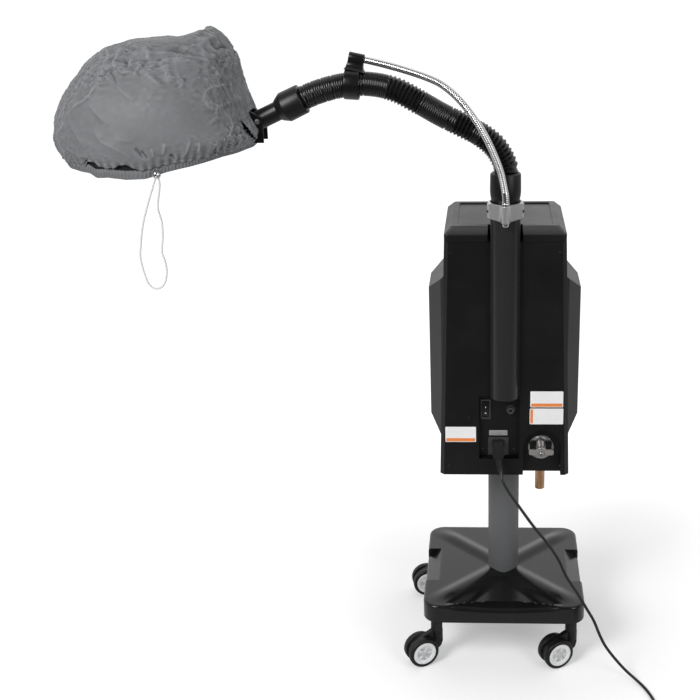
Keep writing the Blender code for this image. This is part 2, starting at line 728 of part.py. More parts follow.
def casters(parent):
    wheel = wheel_mesh()
    mirrored = wheel.copy()
    mirrored.transform(Matrix.Rotation(math.pi, 4, "Z"))
    half_axle = FORK_WEB / 2 + WHEEL_PLAY + WHEEL_WIDTH - WHEEL_DISH_DEPTH
    axle = rod(AXLE_DIAMETER / 2, -half_axle, half_axle, SMALL_STEPS)
    axle = to_mesh(moved(axle, Matrix.Rotation(math.radians(90.0), 4, "X")), "caster_axle")
    for place, x, y, turn in caster_places():
        swivel = empty(f"caster_{place}_swivel", (x, y, 0.0), parent, turn)
        hub = empty(f"caster_{place}_hub", (-CASTER_TRAIL, 0.0, WHEEL_RADIUS), swivel)
        fork = link(f"caster_{place}_fork", fork_mesh(), BLACK, swivel)
        neck_top = SOCKET_FOOT - CLEARANCE
        add(fork, rod(FORK_NECK_DIAMETER / 2, FORK_NECK_FOOT, neck_top, SMALL_STEPS))
        add(fork, rod(STEM_DIAMETER / 2, FORK_NECK_FOOT, PLATE_BOTTOM, SMALL_STEPS))
        bore = rod(AXLE_DIAMETER / 2 + CLEARANCE, -FORK_WEB, FORK_WEB, SMALL_STEPS)
        cut(fork, moved(bore, along_y(-CASTER_TRAIL, WHEEL_RADIUS)))
        link(f"caster_{place}_axle", axle.copy(), STEEL, hub)
        link(f"caster_{place}_wheel_inner", wheel.copy(), TYRE, hub)
        link(f"caster_{place}_wheel_outer", mirrored.copy(), TYRE, hub)


# Housing

def housing_half_width(z):
    share = (HOUSING_TOP - z) / (HOUSING_TOP - HOUSING_BOTTOM)
    return (HOUSING_WIDTH_TOP + (HOUSING_WIDTH_BOTTOM - HOUSING_WIDTH_TOP) * share) / 2


def housing_outline(inset, low, high):
    return (
        (-housing_half_width(low) + inset, low), (housing_half_width(low) - inset, low),
        (housing_half_width(high) - inset, high), (-housing_half_width(high) + inset, high),
    )


def rear_cover(parent):
    outline = housing_outline(0.0, HOUSING_BOTTOM, HOUSING_TOP)
    shape = prism(outline, HOUSING_REAR, HOUSING_SPLIT - CLEARANCE / 2, "Y")
    rear = edges_where(shape, lambda co: co.y < HOUSING_REAR + 1e-6)
    sides = [edge for edge in rear if abs(edge.verts[0].co.z - edge.verts[1].co.z) > 0.1]
    bevel(shape, sides, REAR_EDGE_BEVEL, 1)
    cover = link("rear_cover", to_mesh(shape, "rear_cover"), BLACK, parent)
    tube = rod(TUBE_DIAMETER / 2, TUBE_FOOT, TUBE_TOP)
    add(cover, moved(tube, Matrix.Translation((0.0, ARM_Y, 0.0))))
    hollow = housing_outline(HOUSING_WALL, HOUSING_BOTTOM - 0.01, HOUSING_TOP - HOUSING_WALL)
    room = prism(hollow, HOUSING_REAR + HOUSING_WALL, HOUSING_SPLIT + 0.05, "Y")
    side_room = edges_where(room, lambda co: co.y < HOUSING_REAR + HOUSING_WALL + 1e-6)
    side_room = [edge for edge in side_room if abs(edge.verts[0].co.z - edge.verts[1].co.z) > 0.1]
    bevel(room, side_room, REAR_EDGE_BEVEL, 1)
    cut(cover, room)
    channel = rod(TUBE_DIAMETER / 2 - TUBE_WALL, TUBE_FOOT + TUBE_WALL, TUBE_TOP + 0.01)
    cut(cover, moved(channel, Matrix.Translation((0.0, ARM_Y, 0.0))))
    wall = HOUSING_WALL
    mid_wall = HOUSING_REAR + HOUSING_WALL / 2
    add(cover, block(
        (RECESS_LEFT - wall, RECESS_RIGHT + wall), (mid_wall, RECESS_BACK),
        (RECESS_LOW - wall, RECESS_HIGH + wall / 2),
    ))
    add(cover, prism(pocket_outline(wall, HOUSING_BOTTOM + wall / 4), mid_wall, POCKET_BACK, "Y"))
    cut(cover, block((RECESS_LEFT, RECESS_RIGHT), (-1.0, RECESS_FLOOR), (RECESS_LOW, RECESS_HIGH)))
    cut(cover, prism(pocket_outline(0.0, HOUSING_BOTTOM - 0.01), -1.0, POCKET_FLOOR, "Y"))
    cut(cover, *recess_holes())
    bonnet_hole = rod(VALVE_BONNET_DIAMETER / 2 + CLEARANCE, -0.2, 0.2, SMALL_STEPS)
    cut(cover, moved(bonnet_hole, along_y(VALVE_X, VALVE_Z)))


def pocket_outline(grow, bottom):
    """Arched doorway in X and Z, open at the bottom of the housing."""
    radius = POCKET_WIDTH / 2
    spring = POCKET_TOP - radius
    outline = [(POCKET_X - radius - grow, bottom), (POCKET_X + radius + grow, bottom)]
    for step in range(13):
        angle = math.pi * step / 12
        outline.append((
            POCKET_X + (radius + grow) * math.cos(angle), spring + (radius + grow) * math.sin(angle),
        ))
    return outline


def recess_holes():
    """Holes through the recess floor for the bodies of the switch, the fuse holder and the inlet."""
    deep = (HOUSING_REAR, HOUSING_REAR + 0.05)
    switch = (SWITCH_WIDTH / 2 - SWITCH_RIM / 2, SWITCH_HEIGHT / 2 - SWITCH_RIM / 2)
    inlet = (INLET_WIDTH / 2 - 0.006, INLET_HEIGHT / 2 - 0.006)
    yield block(
        (SWITCH_X - switch[0], SWITCH_X + switch[0]), deep, (SWITCH_Z - switch[1], SWITCH_Z + switch[1]),
    )
    yield block(
        (INLET_X - inlet[0], INLET_X + inlet[0]), deep, (INLET_Z - inlet[1], INLET_Z + inlet[1]),
    )
    fuse = rod(FUSE_BODY_DIAMETER / 2 + CLEARANCE, -0.2, 0.2, SMALL_STEPS)
    yield moved(fuse, along_y(FUSE_X, FUSE_Z))


def bulge_outline(side, inset):
    inner = side * 0.02
    outer = side * (BULGE_HALF_WIDTH - inset)
    shoulder = side * (housing_half_width((BULGE_LOW + BULGE_HIGH) / 2) - 0.004 - inset)
    return (
        (inner, BULGE_FOOT + inset), (shoulder, BULGE_FOOT + inset), (outer, BULGE_LOW + inset / 2),
        (outer, BULGE_HIGH - inset / 2), (shoulder, BULGE_HEAD - inset), (inner, BULGE_HEAD - inset),
    )


def bulge(side, inset, edge):
    shape = prism(bulge_outline(side, inset), BULGE_REAR + inset, BULGE_FRONT - inset, "Y")
    limit = BULGE_HALF_WIDTH - inset - 1e-5
    face_edges = edges_where(shape, lambda co: abs(co.x) > limit)
    upright = [item for item in face_edges if abs(item.verts[0].co.y - item.verts[1].co.y) < 1e-6]
    bevel(shape, upright, edge, 1)
    return shape


def front_shell(parent):
    outline = housing_outline(0.0, HOUSING_BOTTOM, HOUSING_TOP)
    shape = prism(outline, HOUSING_SPLIT + CLEARANCE / 2, HOUSING_FRONT, "Y")
    bevel(shape, upright_front_edges(shape, HOUSING_FRONT), FRONT_EDGE_BEVEL, 3)
    shell = link("front_shell", to_mesh(shape, "front_shell"), SATIN_BLACK, parent)
    add(shell, bulge(1, 0.0, BULGE_EDGE_BEVEL), bulge(-1, 0.0, BULGE_EDGE_BEVEL))
    inner = housing_outline(HOUSING_WALL, HOUSING_BOTTOM - 0.01, HOUSING_TOP + 0.01)
    room = prism(inner, HOUSING_SPLIT - 0.05, HOUSING_FRONT - HOUSING_WALL, "Y")
    inner_front = upright_front_edges(room, HOUSING_FRONT - HOUSING_WALL)
    bevel(room, inner_front, FRONT_EDGE_BEVEL - HOUSING_WALL / 2, 3)
    cut(shell, room)
    cut(shell, bulge(1, HOUSING_WALL, BULGE_EDGE_BEVEL), bulge(-1, HOUSING_WALL, BULGE_EDGE_BEVEL))


def upright_front_edges(shape, front):
    edges = edges_where(shape, lambda co: co.y > front - 1e-6)
    return [edge for edge in edges if abs(edge.verts[0].co.z - edge.verts[1].co.z) > 0.1]


def top_cover(parent):
    half = housing_half_width(HOUSING_TOP)
    corner = 0.010
    middle_y = (HOUSING_REAR + HOUSING_FRONT) / 2
    depth = HOUSING_FRONT - HOUSING_REAR
    shape = prism(rounded_rectangle(2 * half, depth, corner, 3), LID_BOTTOM, LID_SHOULDER)
    moved(shape, Matrix.Translation((0.0, middle_y, 0.0)))
    top = [face for face in shape.faces if face.calc_center_median().z > LID_SHOULDER - 1e-6]
    grown = bmesh.ops.extrude_face_region(shape, geom=top)
    bmesh.ops.delete(shape, geom=top, context="FACES_ONLY")
    raised = [item for item in grown["geom"] if isinstance(item, bmesh.types.BMVert)]
    top_depth = depth - LID_CHAMFER_SIDE - LID_CHAMFER_REAR
    top_middle = middle_y + (LID_CHAMFER_REAR - LID_CHAMFER_SIDE) / 2
    for vert in raised:
        vert.co.x *= (half - LID_CHAMFER_SIDE) / half
        vert.co.y = top_middle + (vert.co.y - middle_y) * top_depth / depth
        vert.co.z = LID_TOP
    lid = link("top_cover", to_mesh(shape, "top_cover"), SATIN_BLACK, parent)
    panel_width = 2 * (half - LID_CHAMFER_SIDE - LID_PANEL_MARGIN)
    panel = prism(
        rounded_rectangle(panel_width, top_depth - 2 * LID_PANEL_MARGIN, 0.004, 2),
        LID_TOP - LID_PANEL_DEPTH, LID_TOP + 0.01,
    )
    cut(lid, moved(panel, Matrix.Translation((0.0, top_middle, 0.0))))
    wall = HOUSING_WALL
    under = prism(
        rounded_rectangle(2 * (half - LID_CHAMFER_SIDE), top_depth, corner, 2),
        LID_BOTTOM - 0.01, LID_TOP - LID_PANEL_DEPTH - wall,
    )
    cut(lid, moved(under, Matrix.Translation((0.0, top_middle, 0.0))))
    notch = LID_NOTCH_WIDTH / 2
    cut(lid, block((-notch, notch), (-1.0, ARM_Y + notch), (LID_BOTTOM - 0.01, LID_TOP + 0.01)))


def drain_pipe_place():
    return VALVE_X, POCKET_BACK + CLEARANCE + VALVE_BODY_SIDE / 2


def bottom_tray(parent):
    half = housing_half_width(TRAY_BOTTOM + TRAY_THICKNESS) - HOUSING_WALL - CLEARANCE
    rear = POCKET_BACK + CLEARANCE
    front = HOUSING_FRONT - HOUSING_WALL - CLEARANCE
    corner = FRONT_EDGE_BEVEL
    outline = (
        (-half, rear), (half, rear), (half, front - corner), (half - corner, front),
        (corner - half, front), (-half, front - corner),
    )
    shape = prism(outline, TRAY_BOTTOM, TRAY_BOTTOM + TRAY_THICKNESS)
    tray = link("bottom_tray", to_mesh(shape, "bottom_tray"), BLACK, parent)
    bore = COLUMN_DIAMETER / 2 + CLEARANCE
    add(tray, rod(bore + TRAY_SOCKET_WALL, TRAY_BOTTOM + TRAY_THICKNESS / 2, TRAY_SEAT))
    cut(tray, rod(bore, HOUSING_BOTTOM - 0.1, COLUMN_HEAD + CLEARANCE))
    x, y = drain_pipe_place()
    hole = rod(DRAIN_PIPE_DIAMETER / 2 + CLEARANCE, TRAY_BOTTOM - 0.01, TRAY_BOTTOM + 0.02)
    cut(tray, moved(hole, Matrix.Translation((x, y, 0.0))))


def boiler_set(parent):
    radius = HEATER_DIAMETER / 2
    heater = rod(radius, HEATER_BOTTOM, HEATER_BOTTOM + HEATER_THICKNESS)
    link("heater", to_mesh(heater, "heater"), STEEL, parent)
    outer = BOILER_DIAMETER / 2
    neck = BOILER_NECK_DIAMETER / 2
    wall = BOILER_WALL
    low = BOILER_BOTTOM
    shoulder = low + BOILER_HEIGHT
    dome = BOILER_DIAMETER * 0.12
    profile = (
        (0.0, low), (outer - wall / 2, low), (outer, low + wall / 2), (outer, shoulder - dome),
        (outer * 0.72, shoulder - dome * 0.25), (neck, shoulder), (neck, BOILER_MOUTH),
        (neck - wall, BOILER_MOUTH), (neck - wall, shoulder - wall),
        (outer * 0.72 - wall * 0.5, shoulder - dome * 0.25 - wall),
        (outer - wall, shoulder - dome - wall * 0.5),
        (outer - wall, low + wall), (0.0, low + wall),
    )
    link("boiler", to_mesh(turned(profile), "boiler"), STEEL, parent)
    link("steam_pipe", to_mesh(steam_pipe_shape(), "steam_pipe"), COPPER, parent)


def steam_pipe_shape():
    """Bent pipe from the boiler's neck to the spigot's tail in the rear tube."""
    radius = STEAM_PIPE_DIAMETER / 2
    start = BOILER_MOUTH + CLEARANCE
    end = SPIGOT_SEAT - SPIGOT_FLANGE - SPIGOT_TAIL - CLEARANCE
    rise = Vector((0.0, 0.0, radius))
    foot = Vector((0.0, 0.0, start))
    head = Vector((0.0, ARM_Y, end))
    upright = Vector((0.0, ARM_Y, HOUSING_TOP - STEAM_PIPE_DIAMETER))
    middle = (foot + rise * 2 + upright) / 2
    points = [foot, foot + rise * 2.4, middle, upright, head - rise * 2, head]
    line = smooth_route(points, STEAM_PIPE_DIAMETER)
    line[0] = foot
    line[1] = foot + rise
    line[-2] = head - rise
    line[-1] = head
    return swept_pipe(line, radius, STEAM_BORE / 2, SMALL_STEPS)


def swept_pipe(line, radius, bore, steps):
    """Open pipe with a bore, swept along a line in one plane of constant X."""
    shape = bmesh.new()
    rings = []
    for number, point in enumerate(line):
        before = line[max(0, number - 1)]
        after = line[min(len(line) - 1, number + 1)]
        ahead = (after - before).normalized()
        side = Vector((1.0, 0.0, 0.0))
        up = ahead.cross(side).normalized()
        for reach in (radius, bore):
            rings.append([
                shape.verts.new(point + reach * (
                    side * math.cos(math.tau * step / steps) + up * math.sin(math.tau * step / steps)
                ))
                for step in range(steps)
            ])
    outer = rings[0::2]
    inner = rings[1::2]
    for row in (outer, inner):
        for first, second in zip(row, row[1:]):
            for step in range(steps):
                follow = (step + 1) % steps
                shape.faces.new((first[step], first[follow], second[follow], second[step]))
    for end in (0, -1):
        for step in range(steps):
            follow = (step + 1) % steps
            shape.faces.new((outer[end][step], outer[end][follow], inner[end][follow], inner[end][step]))
    return shape


def steam_spigot(parent):
    bore = STEAM_BORE / 2
    tail = STEAM_PIPE_DIAMETER / 2
    seat = TUBE_TOP + CLEARANCE
    profile = (
        (bore, seat - SPIGOT_TAIL), (tail, seat - SPIGOT_TAIL), (tail, seat), (TUBE_DIAMETER / 2, seat),
        (TUBE_DIAMETER / 2, SPIGOT_SEAT), (SPIGOT_DIAMETER / 2, SPIGOT_SEAT),
        (SPIGOT_DIAMETER / 2, SPIGOT_SEAT + SPIGOT_LENGTH), (bore, SPIGOT_SEAT + SPIGOT_LENGTH),
    )
    shape = moved(turned(profile, ring=True), Matrix.Translation((0.0, ARM_Y, 0.0)))
    link("steam_spigot", to_mesh(shape, "steam_spigot"), ALUMINIUM, parent)


# Drain valve

def drain_set(parent):
    floor = -POCKET_FLOOR + CLEARANCE
    plate = rod(VALVE_PLATE_DIAMETER / 2, floor, floor + VALVE_PLATE_THICKNESS)
    plate = link(
        "valve_plate", to_mesh(moved(plate, along_y(VALVE_X, VALVE_Z)), "valve_plate"), ALUMINIUM, parent,
    )
    bore = rod(VALVE_BONNET_DIAMETER / 2 + CLEARANCE, floor - 0.01, floor + 0.01, SMALL_STEPS)
    cut(plate, moved(bore, along_y(VALVE_X, VALVE_Z)))
    gap = VALVE_BONNET_DIAMETER / 2 + 0.002
    for side in (-1, 1):
        near = VALVE_X + side * gap
        far = near + side * VALVE_WINDOW_WIDTH
        low = VALVE_Z - VALVE_WINDOW_HEIGHT * 0.35
        cut(plate, block(
            (min(near, far), max(near, far)), (-floor - 0.01, -floor + 0.01),
            (low, low + VALVE_WINDOW_HEIGHT),
        ))
    face = floor + VALVE_PLATE_THICKNESS
    stem_end = face + VALVE_BONNET_LENGTH
    handle_start = stem_end + CLEARANCE
    handle_end = handle_start + HANDLE_HUB_LENGTH
    nut_start = handle_end + CLEARANCE
    body_rear = POCKET_BACK + CLEARANCE
    side = VALVE_BODY_SIDE / 2
    body = block(
        (VALVE_X - side, VALVE_X + side), (body_rear, body_rear + VALVE_BODY_SIDE),
        (VALVE_Z - side, VALVE_Z + side),
    )
    valve = link("drain_valve", to_mesh(body, "drain_valve"), NICKEL, parent)
    bonnet = rod(VALVE_BONNET_DIAMETER / 2, -body_rear - side, stem_end, SMALL_STEPS)
    add(valve, moved(bonnet, along_y(VALVE_X, VALVE_Z)))
    pin = rod(STEM_PIN_DIAMETER / 2, face, handle_end, SMALL_STEPS)
    add(valve, moved(pin, along_y(VALVE_X, VALVE_Z)))
    holder = empty("drain_handle_axis", (VALVE_X, 0.0, VALVE_Z), parent)
    drain_handle(holder, handle_start, handle_end)
    profile = (
        (0.0, nut_start), (NUT_DIAMETER / 2, nut_start), (NUT_DIAMETER / 2, nut_start + NUT_LENGTH * 0.6),
        (NUT_DIAMETER * 0.3, nut_start + NUT_LENGTH), (0.0, nut_start + NUT_LENGTH),
    )
    nut = moved(turned(profile, SMALL_STEPS), along_y(0.0, 0.0))
    link("handle_nut", to_mesh(nut, "handle_nut"), NICKEL, holder)
    x, y = drain_pipe_place()
    radius = DRAIN_PIPE_DIAMETER / 2
    top = VALVE_Z - side - CLEARANCE
    copper = pipe(radius, radius - DRAIN_PIPE_WALL, HOUSING_BOTTOM - DRAIN_PIPE_DROP, top, 24)
    copper = moved(copper, Matrix.Translation((x, y, 0.0)))
    link("drain_pipe", to_mesh(copper, "drain_pipe"), COPPER, parent)


def drain_handle(holder, start, end):
    """Wing handle on the stem pin; its arms are narrower than its hub and end in round corners."""
    hub = moved(rod(HANDLE_HUB_DIAMETER / 2, start, end, 24), along_y(0.0, 0.0))
    handle = link("drain_handle", to_mesh(hub, "drain_handle"), NICKEL, holder)
    outline = rounded_rectangle(HANDLE_SPAN, HANDLE_ARM_HEIGHT, HANDLE_ARM_HEIGHT * 0.3, 3)
    middle = -(start + end) / 2
    add(handle, prism(outline, middle - HANDLE_ARM_THICKNESS / 2, middle + HANDLE_ARM_THICKNESS / 2, "Y"))
    bore = rod(STEM_PIN_DIAMETER / 2 + CLEARANCE, start - 0.01, end + 0.01, SMALL_STEPS)
    cut(handle, moved(bore, along_y(0.0, 0.0)))


# Switch, fuse and mains inlet

def switch(parent):
    front = RECESS_FLOOR - CLEARANCE - SWITCH_FLANGE
    half_width = SWITCH_WIDTH / 2
    half_height = SWITCH_HEIGHT / 2
    flange = block(
        (SWITCH_X - half_width, SWITCH_X + half_width), (front, front + SWITCH_FLANGE),
        (SWITCH_Z - half_height, SWITCH_Z + half_height),
    )
    bezel = link("switch_bezel", to_mesh(flange, "switch_bezel"), BLACK, parent)
    inner = (half_width - SWITCH_RIM / 2 - CLEARANCE, half_height - SWITCH_RIM / 2 - CLEARANCE)
    add(bezel, block(
        (SWITCH_X - inner[0], SWITCH_X + inner[0]), (front + SWITCH_FLANGE / 2, front + SWITCH_BODY_DEPTH),
        (SWITCH_Z - inner[1], SWITCH_Z + inner[1]),
    ))
    mouth = (half_width - SWITCH_RIM, half_height - SWITCH_RIM)
    cut(bezel, block(
        (SWITCH_X - mouth[0], SWITCH_X + mouth[0]), (front - 0.01, front + SWITCH_BODY_DEPTH * 0.6),
        (SWITCH_Z - mouth[1], SWITCH_Z + mouth[1]),
    ))
    axis_y = front + SWITCH_BODY_DEPTH * 0.3
    holder = empty("switch_axis", (SWITCH_X, axis_y, SWITCH_Z), parent)
    reach = mouth[1] - 0.0012
    lean = math.radians(ROCKER_TRAVEL / 2)
    proud = axis_y - front + 0.0022
    outline = (
        (-proud, 0.0), (-proud + reach * math.tan(lean) * 0.1, reach), (0.0, reach * 0.97),
        (0.0035, reach * 0.4), (0.0035, -reach * 0.4), (0.0, -reach * 0.97),
        (-proud + reach * math.tan(lean) * 1.9, -reach),
    )
    rocker = prism(outline, -mouth[0] + CLEARANCE, mouth[0] - CLEARANCE, "X")
    link("switch_rocker", to_mesh(rocker, "switch_rocker"), BLACK, holder)


def fuse_holder(parent):
    floor = -RECESS_FLOOR
    face = floor + CLEARANCE
    cap = FUSE_CAP_DIAMETER / 2
    profile = (
        (0.0, floor - FUSE_BODY_LENGTH), (FUSE_BODY_DIAMETER / 2, floor - FUSE_BODY_LENGTH),
        (FUSE_BODY_DIAMETER / 2, face), (FUSE_NUT_DIAMETER / 2, face), (FUSE_NUT_DIAMETER / 2, face + 0.002),
        (cap, face + 0.0025), (cap, face + FUSE_CAP_LENGTH - 0.001), (cap - 0.001, face + FUSE_CAP_LENGTH),
        (0.003, face + FUSE_CAP_LENGTH), (0.003, face + FUSE_CAP_LENGTH - 0.002),
        (0.0, face + FUSE_CAP_LENGTH - 0.002),
    )
    shape = moved(turned(profile, 20), along_y(FUSE_X, FUSE_Z))
    link("fuse_holder", to_mesh(shape, "fuse_holder"), BLACK, parent)


def mains_inlet(parent):
    front = RECESS_FLOOR - CLEARANCE - INLET_FLANGE
    flange = block(
        (INLET_X - INLET_WIDTH / 2, INLET_X + INLET_WIDTH / 2), (front, front + INLET_FLANGE),
        (INLET_Z - INLET_HEIGHT / 2, INLET_Z + INLET_HEIGHT / 2),
    )
    inlet = link("inlet_socket", to_mesh(flange, "inlet_socket"), BLACK, parent)
    body = (INLET_WIDTH / 2 - 0.006 - CLEARANCE, INLET_HEIGHT / 2 - 0.006 - CLEARANCE)
    add(inlet, block(
        (INLET_X - body[0], INLET_X + body[0]), (front + INLET_FLANGE / 2, front + INLET_BODY_DEPTH),
        (INLET_Z - body[1], INLET_Z + body[1]),
    ))
    mouth = (CONNECTOR_WIDTH / 2 - 0.0015, CONNECTOR_HEIGHT / 2 - 0.0045)
    cut(inlet, block(
        (INLET_X - mouth[0], INLET_X + mouth[0]), (front - 0.01, front + INLET_MOUTH_DEPTH),
        (INLET_Z - mouth[1], INLET_Z + mouth[1]),
    ))
    half = (CONNECTOR_WIDTH / 2, CONNECTOR_HEIGHT / 2)
    outline = [(INLET_X + x, INLET_Z + z) for x, z in (
        (-half[0] * 0.72, -half[1]), (half[0] * 0.72, -half[1]), (half[0], -half[1] * 0.45),
        (half[0], half[1] * 0.8), (half[0] * 0.8, half[1]), (-half[0] * 0.8, half[1]),
        (-half[0], half[1] * 0.8), (-half[0], -half[1] * 0.45),
    )]
    shape = prism(outline, front - CLEARANCE - CONNECTOR_LENGTH, front - CLEARANCE, "Y")
    connector = link("appliance_connector", to_mesh(shape, "appliance_connector"), BLACK, parent)
    tongue = (mouth[0] - CLEARANCE, mouth[1] - CLEARANCE)
    add(connector, block(
        (INLET_X - tongue[0], INLET_X + tongue[0]), (front - 0.005, front + INLET_MOUTH_DEPTH - CLEARANCE),
        (INLET_Z - tongue[1], INLET_Z + tongue[1]),
    ))
    start, aim = relief_line()
    cone = (
        (0.0, -0.010), (RELIEF_DIAMETER / 2, -0.010), (RELIEF_DIAMETER / 2, 0.004),
        (CORD_DIAMETER / 2 + 0.001, RELIEF_LENGTH), (0.0, RELIEF_LENGTH),
    )
    add(connector, moved(turned(cone, SMALL_STEPS), along(start, aim)))


def relief_line():
    """Start and direction of the strain relief, out of the connector's foot."""
    connector_end = RECESS_FLOOR - CLEARANCE - INLET_FLANGE - CLEARANCE - CONNECTOR_LENGTH
    y = connector_end + RELIEF_DIAMETER / 2 + 0.001
    start = Vector((INLET_X, y, INLET_Z - CONNECTOR_HEIGHT / 2))
    return start, (Vector(CORD_ROUTE_MM[0]) * MM - start).normalized()


# Mains cord

def cord_points():
    start, aim = relief_line()
    leave = start + aim * (RELIEF_LENGTH + CLEARANCE)
    points = [leave, leave + aim * CORD_DIAMETER]
    points += [Vector(place) * MM for place in CORD_ROUTE_MM]
    meet = coil_start()
    points[-1] = Vector((meet.x, points[-1].y, meet.z))
    line = smooth_route(points + [meet + Vector((0.0, CLEARANCE, 0.0))], CORD_STEP)
    line[0] = leave
    return line


def coil_start():
    """Outer end of the coil's lower layer, where the cord comes in towards -Y."""
    last = Vector(CORD_ROUTE_MM[-1]) * MM
    return Vector((last.x, last.y - 4 * CORD_DIAMETER, COIL_LOW))


def coil_points():
    """Loops in two layers: inwards below, up a layer in a half turn, and outwards above."""
    start = coil_start()
    centre = Vector((start.x + COIL_OUTER, start.y - CORD_DIAMETER, 0.0))
    count = round(COIL_TURNS * COIL_POINTS_PER_TURN)
    points = [start]
    for number in range(count + 1):
        turn = COIL_TURNS * number / count
        radius = COIL_OUTER - COIL_PITCH * min(turn, COIL_TURNS - turn)
        share = min(1.0, max(0.0, (turn - COIL_TURNS_PER_LAYER) / 0.5))
        height = COIL_LOW + COIL_PITCH * (1.0 - math.cos(math.pi * share)) / 2
        angle = math.pi + math.tau * turn
        points.append(centre + Vector((radius * math.cos(angle), radius * math.sin(angle), height)))
    points.append(points[-1] + Vector((0.0, -4 * CORD_DIAMETER, 0.0)))
    return points, centre


def least_gap(points, diameter):
    """Least free space between stretches of a coil that lie more than half a turn apart."""
    least = 1.0
    apart = COIL_POINTS_PER_TURN // 2
    for number, point in enumerate(points):
        for other in points[number + apart:]:
            least = min(least, (point - other).length - diameter)
    return least


def mains_cord(parent):
    line = cord_points()
    node = bpy.data.objects.new("mains_cord", tube_curve("mains_cord", line, CORD_DIAMETER / 2, 2))
    place_curve(node, BLACK, parent)
    loops, centre = coil_points()
    coil = tube_curve("mains_cord_coil", loops, CORD_DIAMETER / 2, 1)
    coil = bpy.data.objects.new("mains_cord_coil", coil)
    place_curve(coil, BLACK, parent)
    print("mains cord length", round(route_length(line) + route_length(loops), 4))
    print("coil least gap", round(least_gap(loops, CORD_DIAMETER), 5))
    coil_tie(parent, centre)
    mains_plug(parent, loops[-1])


def place_curve(node, look, parent):
    node.data.materials.append(finish(node.name, *look))
    node.parent = parent
    bpy.context.scene.collection.objects.link(node)


def coil_tie(parent, centre):
    """Band round all the turns at one place of the coil."""
    spare = CORD_DIAMETER / 2 + TIE_PLAY
    near = COIL_INNER - spare
    far = COIL_OUTER + spare
    low = COIL_LOW - spare + TIE_PLAY * 0.4
    high = COIL_HIGH + spare
    thick = TIE_THICKNESS
    band = block(
        (near - thick, far + thick), (-TIE_WIDTH / 2, TIE_WIDTH / 2), (low - thick / 2, high + thick),
    )
    turn = Matrix.Translation(centre) @ Matrix.Rotation(math.radians(TIE_ANGLE), 4, "Z")
    tie = link("coil_tie", to_mesh(moved(band, turn), "coil_tie"), BLACK, parent)
    cut(tie, moved(block((near, far), (-TIE_WIDTH, TIE_WIDTH), (low, high)), turn))


def mains_plug(parent, tail):
    """Moulded plug lying flat beyond the coil, with two round pins."""
    rise = PLUG_HEIGHT / 2
    start = tail.y - CLEARANCE
    end = start - PLUG_RELIEF - PLUG_LENGTH
    profile = (
        (0.0, -start), (CORD_DIAMETER / 2 + 0.001, -start),
        (CORD_DIAMETER / 2 + 0.003, -start + PLUG_RELIEF),
        (CORD_DIAMETER / 2 + 0.003, -start + PLUG_RELIEF + 0.01), (0.0, -start + PLUG_RELIEF + 0.01),
    )
    relief = moved(turned(profile, SMALL_STEPS), along_y(tail.x, tail.z))
    plug = link("mains_plug", to_mesh(relief, "mains_plug"), BLACK, parent)
    outline = rounded_rectangle(PLUG_WIDTH, PLUG_HEIGHT, PLUG_HEIGHT * 0.3, 3)
    outline = [(tail.x + x, rise + z + 0.0005) for x, z in outline]
    add(plug, prism(outline, end, end + PLUG_LENGTH, "Y"))
    for side in (-1, 1):
        pin = rod(PLUG_PIN_DIAMETER / 2, -end - 0.005, -end + PLUG_PIN_LENGTH, 12)
        add(plug, moved(pin, along_y(tail.x + side * PLUG_PIN_SPACING / 2, rise)))


# Front controls

def front_controls(parent):
    start = HOUSING_FRONT + CLEARANCE
    outline = [(x, PANEL_CENTRE_Z + z) for x, z in rounded_rectangle(PANEL_WIDTH, PANEL_HEIGHT, 0.012, 4)]
    panel = prism(outline, start, start + PANEL_THICKNESS, "Y")
    link("control_panel", to_mesh(panel, "control_panel"), GREY_PAINT, parent)
    face = start + PANEL_THICKNESS + CLEARANCE
    holder = empty("timer_axis", (0.0, 0.0, KNOB_Z), parent)
    radius = KNOB_DIAMETER / 2
    profile = (
        (0.0, face), (radius, face), (radius, face + 0.004), (radius * 0.86, face + 0.005),
        (radius * 0.80, face + KNOB_LENGTH - 0.002), (radius * 0.74, face + KNOB_LENGTH),
        (0.0, face + KNOB_LENGTH),
    )
    knob = moved(turned(profile, 24), along_y(0.0, 0.0, towards_rear=False))
    link("timer_knob", to_mesh(knob, "timer_knob"), BLACK, holder)
    lamp = (
        (0.0, face), (LAMP_DIAMETER / 2, face), (LAMP_DIAMETER / 2, face + LAMP_LENGTH * 0.5),
        (LAMP_DIAMETER * 0.35, face + LAMP_LENGTH), (0.0, face + LAMP_LENGTH),
    )
    lamp = moved(turned(lamp, SMALL_STEPS), along_y(0.0, LAMP_Z, towards_rear=False))
    link("steam_lamp", to_mesh(lamp, "steam_lamp"), LENS, parent)


# Arm

def arm_collar(holder, back):
    ring = pipe(COLLAR_OUTER, COLLAR_INNER, COLLAR_BOTTOM, COLLAR_BOTTOM + COLLAR_HEIGHT)
    ring = moved(ring, Matrix.Translation((0.0, ARM_Y, 0.0)))
    collar = link("arm_collar", to_mesh(ring, "arm_collar"), ALUMINIUM, holder, back)
    half = FERRULE_DIAMETER * 0.55
    add(collar, block(
        (-half, half), (FERRULE_Y, ARM_Y - COLLAR_INNER - COLLAR_WALL / 2),
        (COLLAR_BOTTOM, COLLAR_BOTTOM + COLLAR_HEIGHT),
    ))
    top = COLLAR_BOTTOM + COLLAR_HEIGHT
    seat = rod(FERRULE_DIAMETER / 2 + CLEARANCE, COLLAR_BOTTOM - 0.01, top + 0.01)
    cut(collar, moved(seat, Matrix.Translation((0.0, FERRULE_Y, 0.0))))


def arm_height(x, bow):
    """Height of a route point, over the straight line from the hose's foot to the pivot."""
    return HOSE_FOOT + (PIVOT_Z - HOSE_FOOT) * x / -1000 + bow * ARM_UNIT


